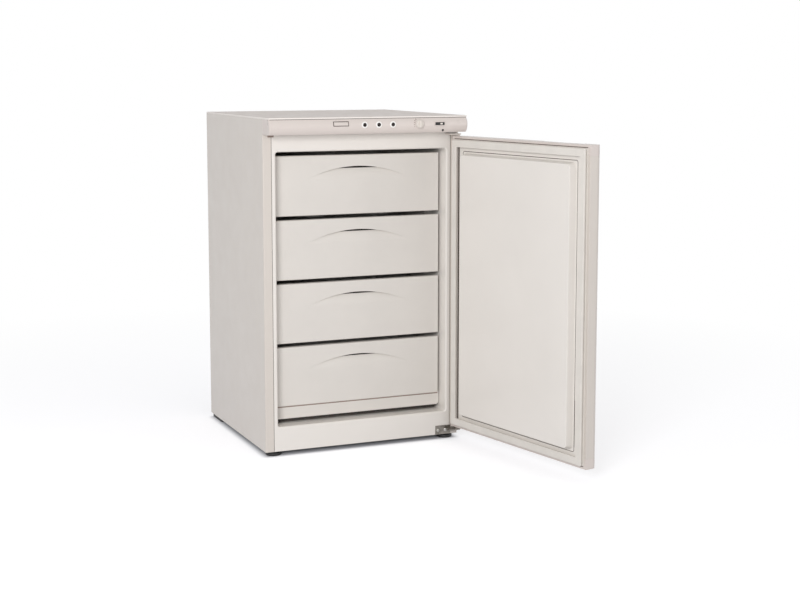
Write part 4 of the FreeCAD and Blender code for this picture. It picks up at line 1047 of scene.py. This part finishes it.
def grip_shade(n):
    """Painted shade under the arched lip: a dark sheet on the scoop's floor, tallest at the crown.
    """
    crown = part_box(f"drawer_front_{n}")[1].z / MM - GRIP_DROP

    def place(across, up):
        side = 2 * across - 1
        x = GRIP_SHADE_HALF * side
        top = crown + math.sqrt(GRIP_ARCH ** 2 - x ** 2) - GRIP_ARCH
        height = GRIP_SHADE_END + GRIP_SHADE_HEIGHT * (1 - side ** 2)
        z = top - GRIP_SHADE_UNDER - height * (1 - up)
        rise = z - crown + GRIP_HEIGHT
        floor = DRAWER_FACE + GRIP_ROLL - math.sqrt(GRIP_ROLL ** 2 - rise ** 2)
        return at(x, floor - GRIP_SHADE_PROUD, z)

    work = bmesh.new()
    sheet(work, GRIP_SHADE_COLUMNS, GRIP_SHADE_ROWS, place)
    thickened(work, list(work.faces), GRIP_SHADE_THICK)
    piece(f"grip_shade_{n}", work, "black_plastic", f"drawer_{n}", DEEP_SHADE_FINISH)


def strip_lines():
    """Painted shade in the crease above the lowest drawer's set-back strip, and a dark sheet under
    the strip as painted shadow.
    """
    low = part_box("drawer_front_4")[0].z / MM
    back = STRIP_FACE + STRIP_PROUD
    work = bmesh.new()
    block(work, at(-CREASE_HALF, STRIP_FACE - STRIP_PROUD, low + CREASE_LOW),
          at(CREASE_HALF, back, low + CREASE_HIGH))
    piece("strip_crease_shade", work, "black_plastic", "drawer_4", PRINT_AND_SHADE_FINISH)
    work = bmesh.new()
    block(work, at(UNDER_STRIP_LEFT, back, low + UNDER_STRIP_LOW), at(UNDER_STRIP_RIGHT, back + UNDER_STRIP_THICK, low + UNDER_STRIP_HIGH),
          UNDER_STRIP_EDGE)
    piece("under_strip_shade", work, "black_plastic", "drawer_4", DEEP_SHADE_FINISH)


door_shade_lines()
for n in DRAWERS:
    grip_shade(n)
strip_lines()


# Fasteners

HINGE_SCREW_X = (6.5, 27.0)            # from the hinge plate's left edge
HINGE_SCREW_Y = -488.0
HINGE_SCREW_Z = 24.0
HINGE_SCREW = 3.6
BACK_SCREW_X = 257.5
BACK_SCREW_Z = (60, 215, 420, 620, 800)
BACK_SCREW = 3.2


def hinge_screws():
    """Two screws in the lower hinge's plate."""
    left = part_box("lower_hinge")[0].x / MM
    work = bmesh.new()
    for x in HINGE_SCREW_X:
        screw(work, at(left + x, HINGE_SCREW_Y, HINGE_SCREW_Z), -Y, HINGE_SCREW)
    piece("lower_hinge_screws", work, "hinge_steel", "cabinet", SCREW_FINISH)


def back_screws():
    """Screws along both edges of the back."""
    work = bmesh.new()
    for x in (-BACK_SCREW_X, BACK_SCREW_X):
        for z in BACK_SCREW_Z:
            screw(work, at(x, 0, z), Y, BACK_SCREW)
    piece("back_screws", work, "hinge_steel", "cabinet", SCREW_FINISH)


hinge_screws()
back_screws()


# Stage, light and camera

def camera_rays(tree):
    """1 for what the camera sees, straight, mirrored or through glass."""
    path = tree.nodes.new("ShaderNodeLightPath")
    total = path.outputs["Is Camera Ray"]
    for name in ("Is Glossy Ray", "Is Transmission Ray"):
        add = tree.nodes.new("ShaderNodeMath")
        add.operation = "ADD"
        add.use_clamp = True
        tree.links.new(total, add.inputs[0])
        tree.links.new(path.outputs[name], add.inputs[1])
        total = add.outputs["Value"]
    return total


def away_from_cabinet(finish):
    """Distance along the floor from the cabinet's footprint."""
    value = finish.place
    for operation, operand in (("SUBTRACT", FLOOR_MIDDLE), ("ABSOLUTE", None),
                               ("SUBTRACT", FLOOR_HALF), ("MAXIMUM", Vector()), ("LENGTH", None)):
        step = finish.node("ShaderNodeVectorMath")
        step.operation = operation
        finish.link(value, step.inputs[0])
        if operand is not None:
            step.inputs[1].default_value = operand
        value = step.outputs["Value" if operation == "LENGTH" else "Vector"]
    return value


def floor_finish():
    """A pale floor that keeps the shadow, dark under the cabinet as painted shadow, and white far
    from it.
    """
    finish = Finish("stage_floor", roughness=0.9, specular=0.1)
    finish.shader.inputs["Base Color"].default_value = screen(214, 214, 218)
    away = away_from_cabinet(finish)
    seen = camera_rays(finish.tree)
    shares = []
    # The glow is 0 inside the footprint and rises over a short edge: a painted shadow under the
    # cabinet.
    for high, start, end in ((FLOOR_GLOW, 0, PAINTED_SHADOW_EDGE), (1, FLOOR_NEAR, FLOOR_FAR)):
        share = finish.node("ShaderNodeMath")
        share.operation = "MULTIPLY"
        finish.link(finish.spread(away, 0, high, start, end), share.inputs[0])
        finish.link(seen, share.inputs[1])
        shares.append(share.outputs["Value"])
    lift, fade = shares
    glow = finish.node("ShaderNodeEmission")
    finish.link(lift, glow.inputs["Strength"])
    lifted = finish.node("ShaderNodeAddShader")
    finish.link(finish.shader.outputs["BSDF"], lifted.inputs[0])
    finish.link(glow.outputs["Emission"], lifted.inputs[1])
    white = finish.node("ShaderNodeEmission", Strength=1.0)
    mix = finish.node("ShaderNodeMixShader")
    finish.link(fade, mix.inputs[0])
    finish.link(lifted.outputs["Shader"], mix.inputs[1])
    finish.link(white.outputs["Emission"], mix.inputs[2])
    finish.link(mix.outputs["Shader"], finish.tree.nodes["Material Output"].inputs["Surface"])
    return finish.material


def stage_floor():
    """The floor, which belongs to the stage and not to the part."""
    work = bmesh.new()
    bmesh.ops.create_circle(work, cap_ends=True, segments=FINE, radius=FLOOR_RADIUS)
    mesh = bpy.data.meshes.new("stage_floor")
    work.to_mesh(mesh)
    work.free()
    mesh.materials.append(floor_finish())
    floor = bpy.data.objects.new("stage_floor", mesh)
    bpy.context.scene.collection.objects.link(floor)


def sky():
    """Even light from all round, with a white background."""
    world = bpy.data.worlds.new("studio")
    world.use_nodes = True
    tree = world.node_tree
    level = tree.nodes.new("ShaderNodeMapRange")
    level.inputs["To Min"].default_value = SKY_LIGHT
    level.inputs["To Max"].default_value = 1.0
    tree.links.new(camera_rays(tree), level.inputs["Value"])
    background = tree.nodes["Background"]
    background.inputs["Color"].default_value = (1, 1, 1, 1)
    tree.links.new(level.outputs["Result"], background.inputs["Strength"])
    bpy.context.scene.world = world


def lamp(name, place, power):
    """A square soft box aimed at the freezer."""
    light = bpy.data.lights.new(name, "AREA")
    light.size = LAMP_SIZE
    light.energy = power
    holder = bpy.data.objects.new(name, light)
    holder.location = place
    holder.rotation_euler = (LAMP_TARGET - place).to_track_quat("-Z", "Y").to_euler()
    bpy.context.scene.collection.objects.link(holder)


def camera():
    """The photo's point of view."""
    view = bpy.data.objects.new("photo_camera", bpy.data.cameras.new("photo_camera"))
    view.location = CAMERA_PLACE
    view.rotation_euler = [math.radians(a) for a in (90 - CAMERA_DOWN, 0, -CAMERA_RIGHT)]
    view.data.lens = CAMERA_LENS
    view.data.shift_y = CAMERA_SHIFT
    bpy.context.scene.collection.objects.link(view)
    bpy.context.scene.camera = view


stage_floor()
sky()
lamp("key_box", KEY_PLACE, KEY_POWER)
lamp("fill_box", FILL_PLACE, FILL_POWER)
camera()
bpy.context.scene.view_settings.view_transform = "Standard"
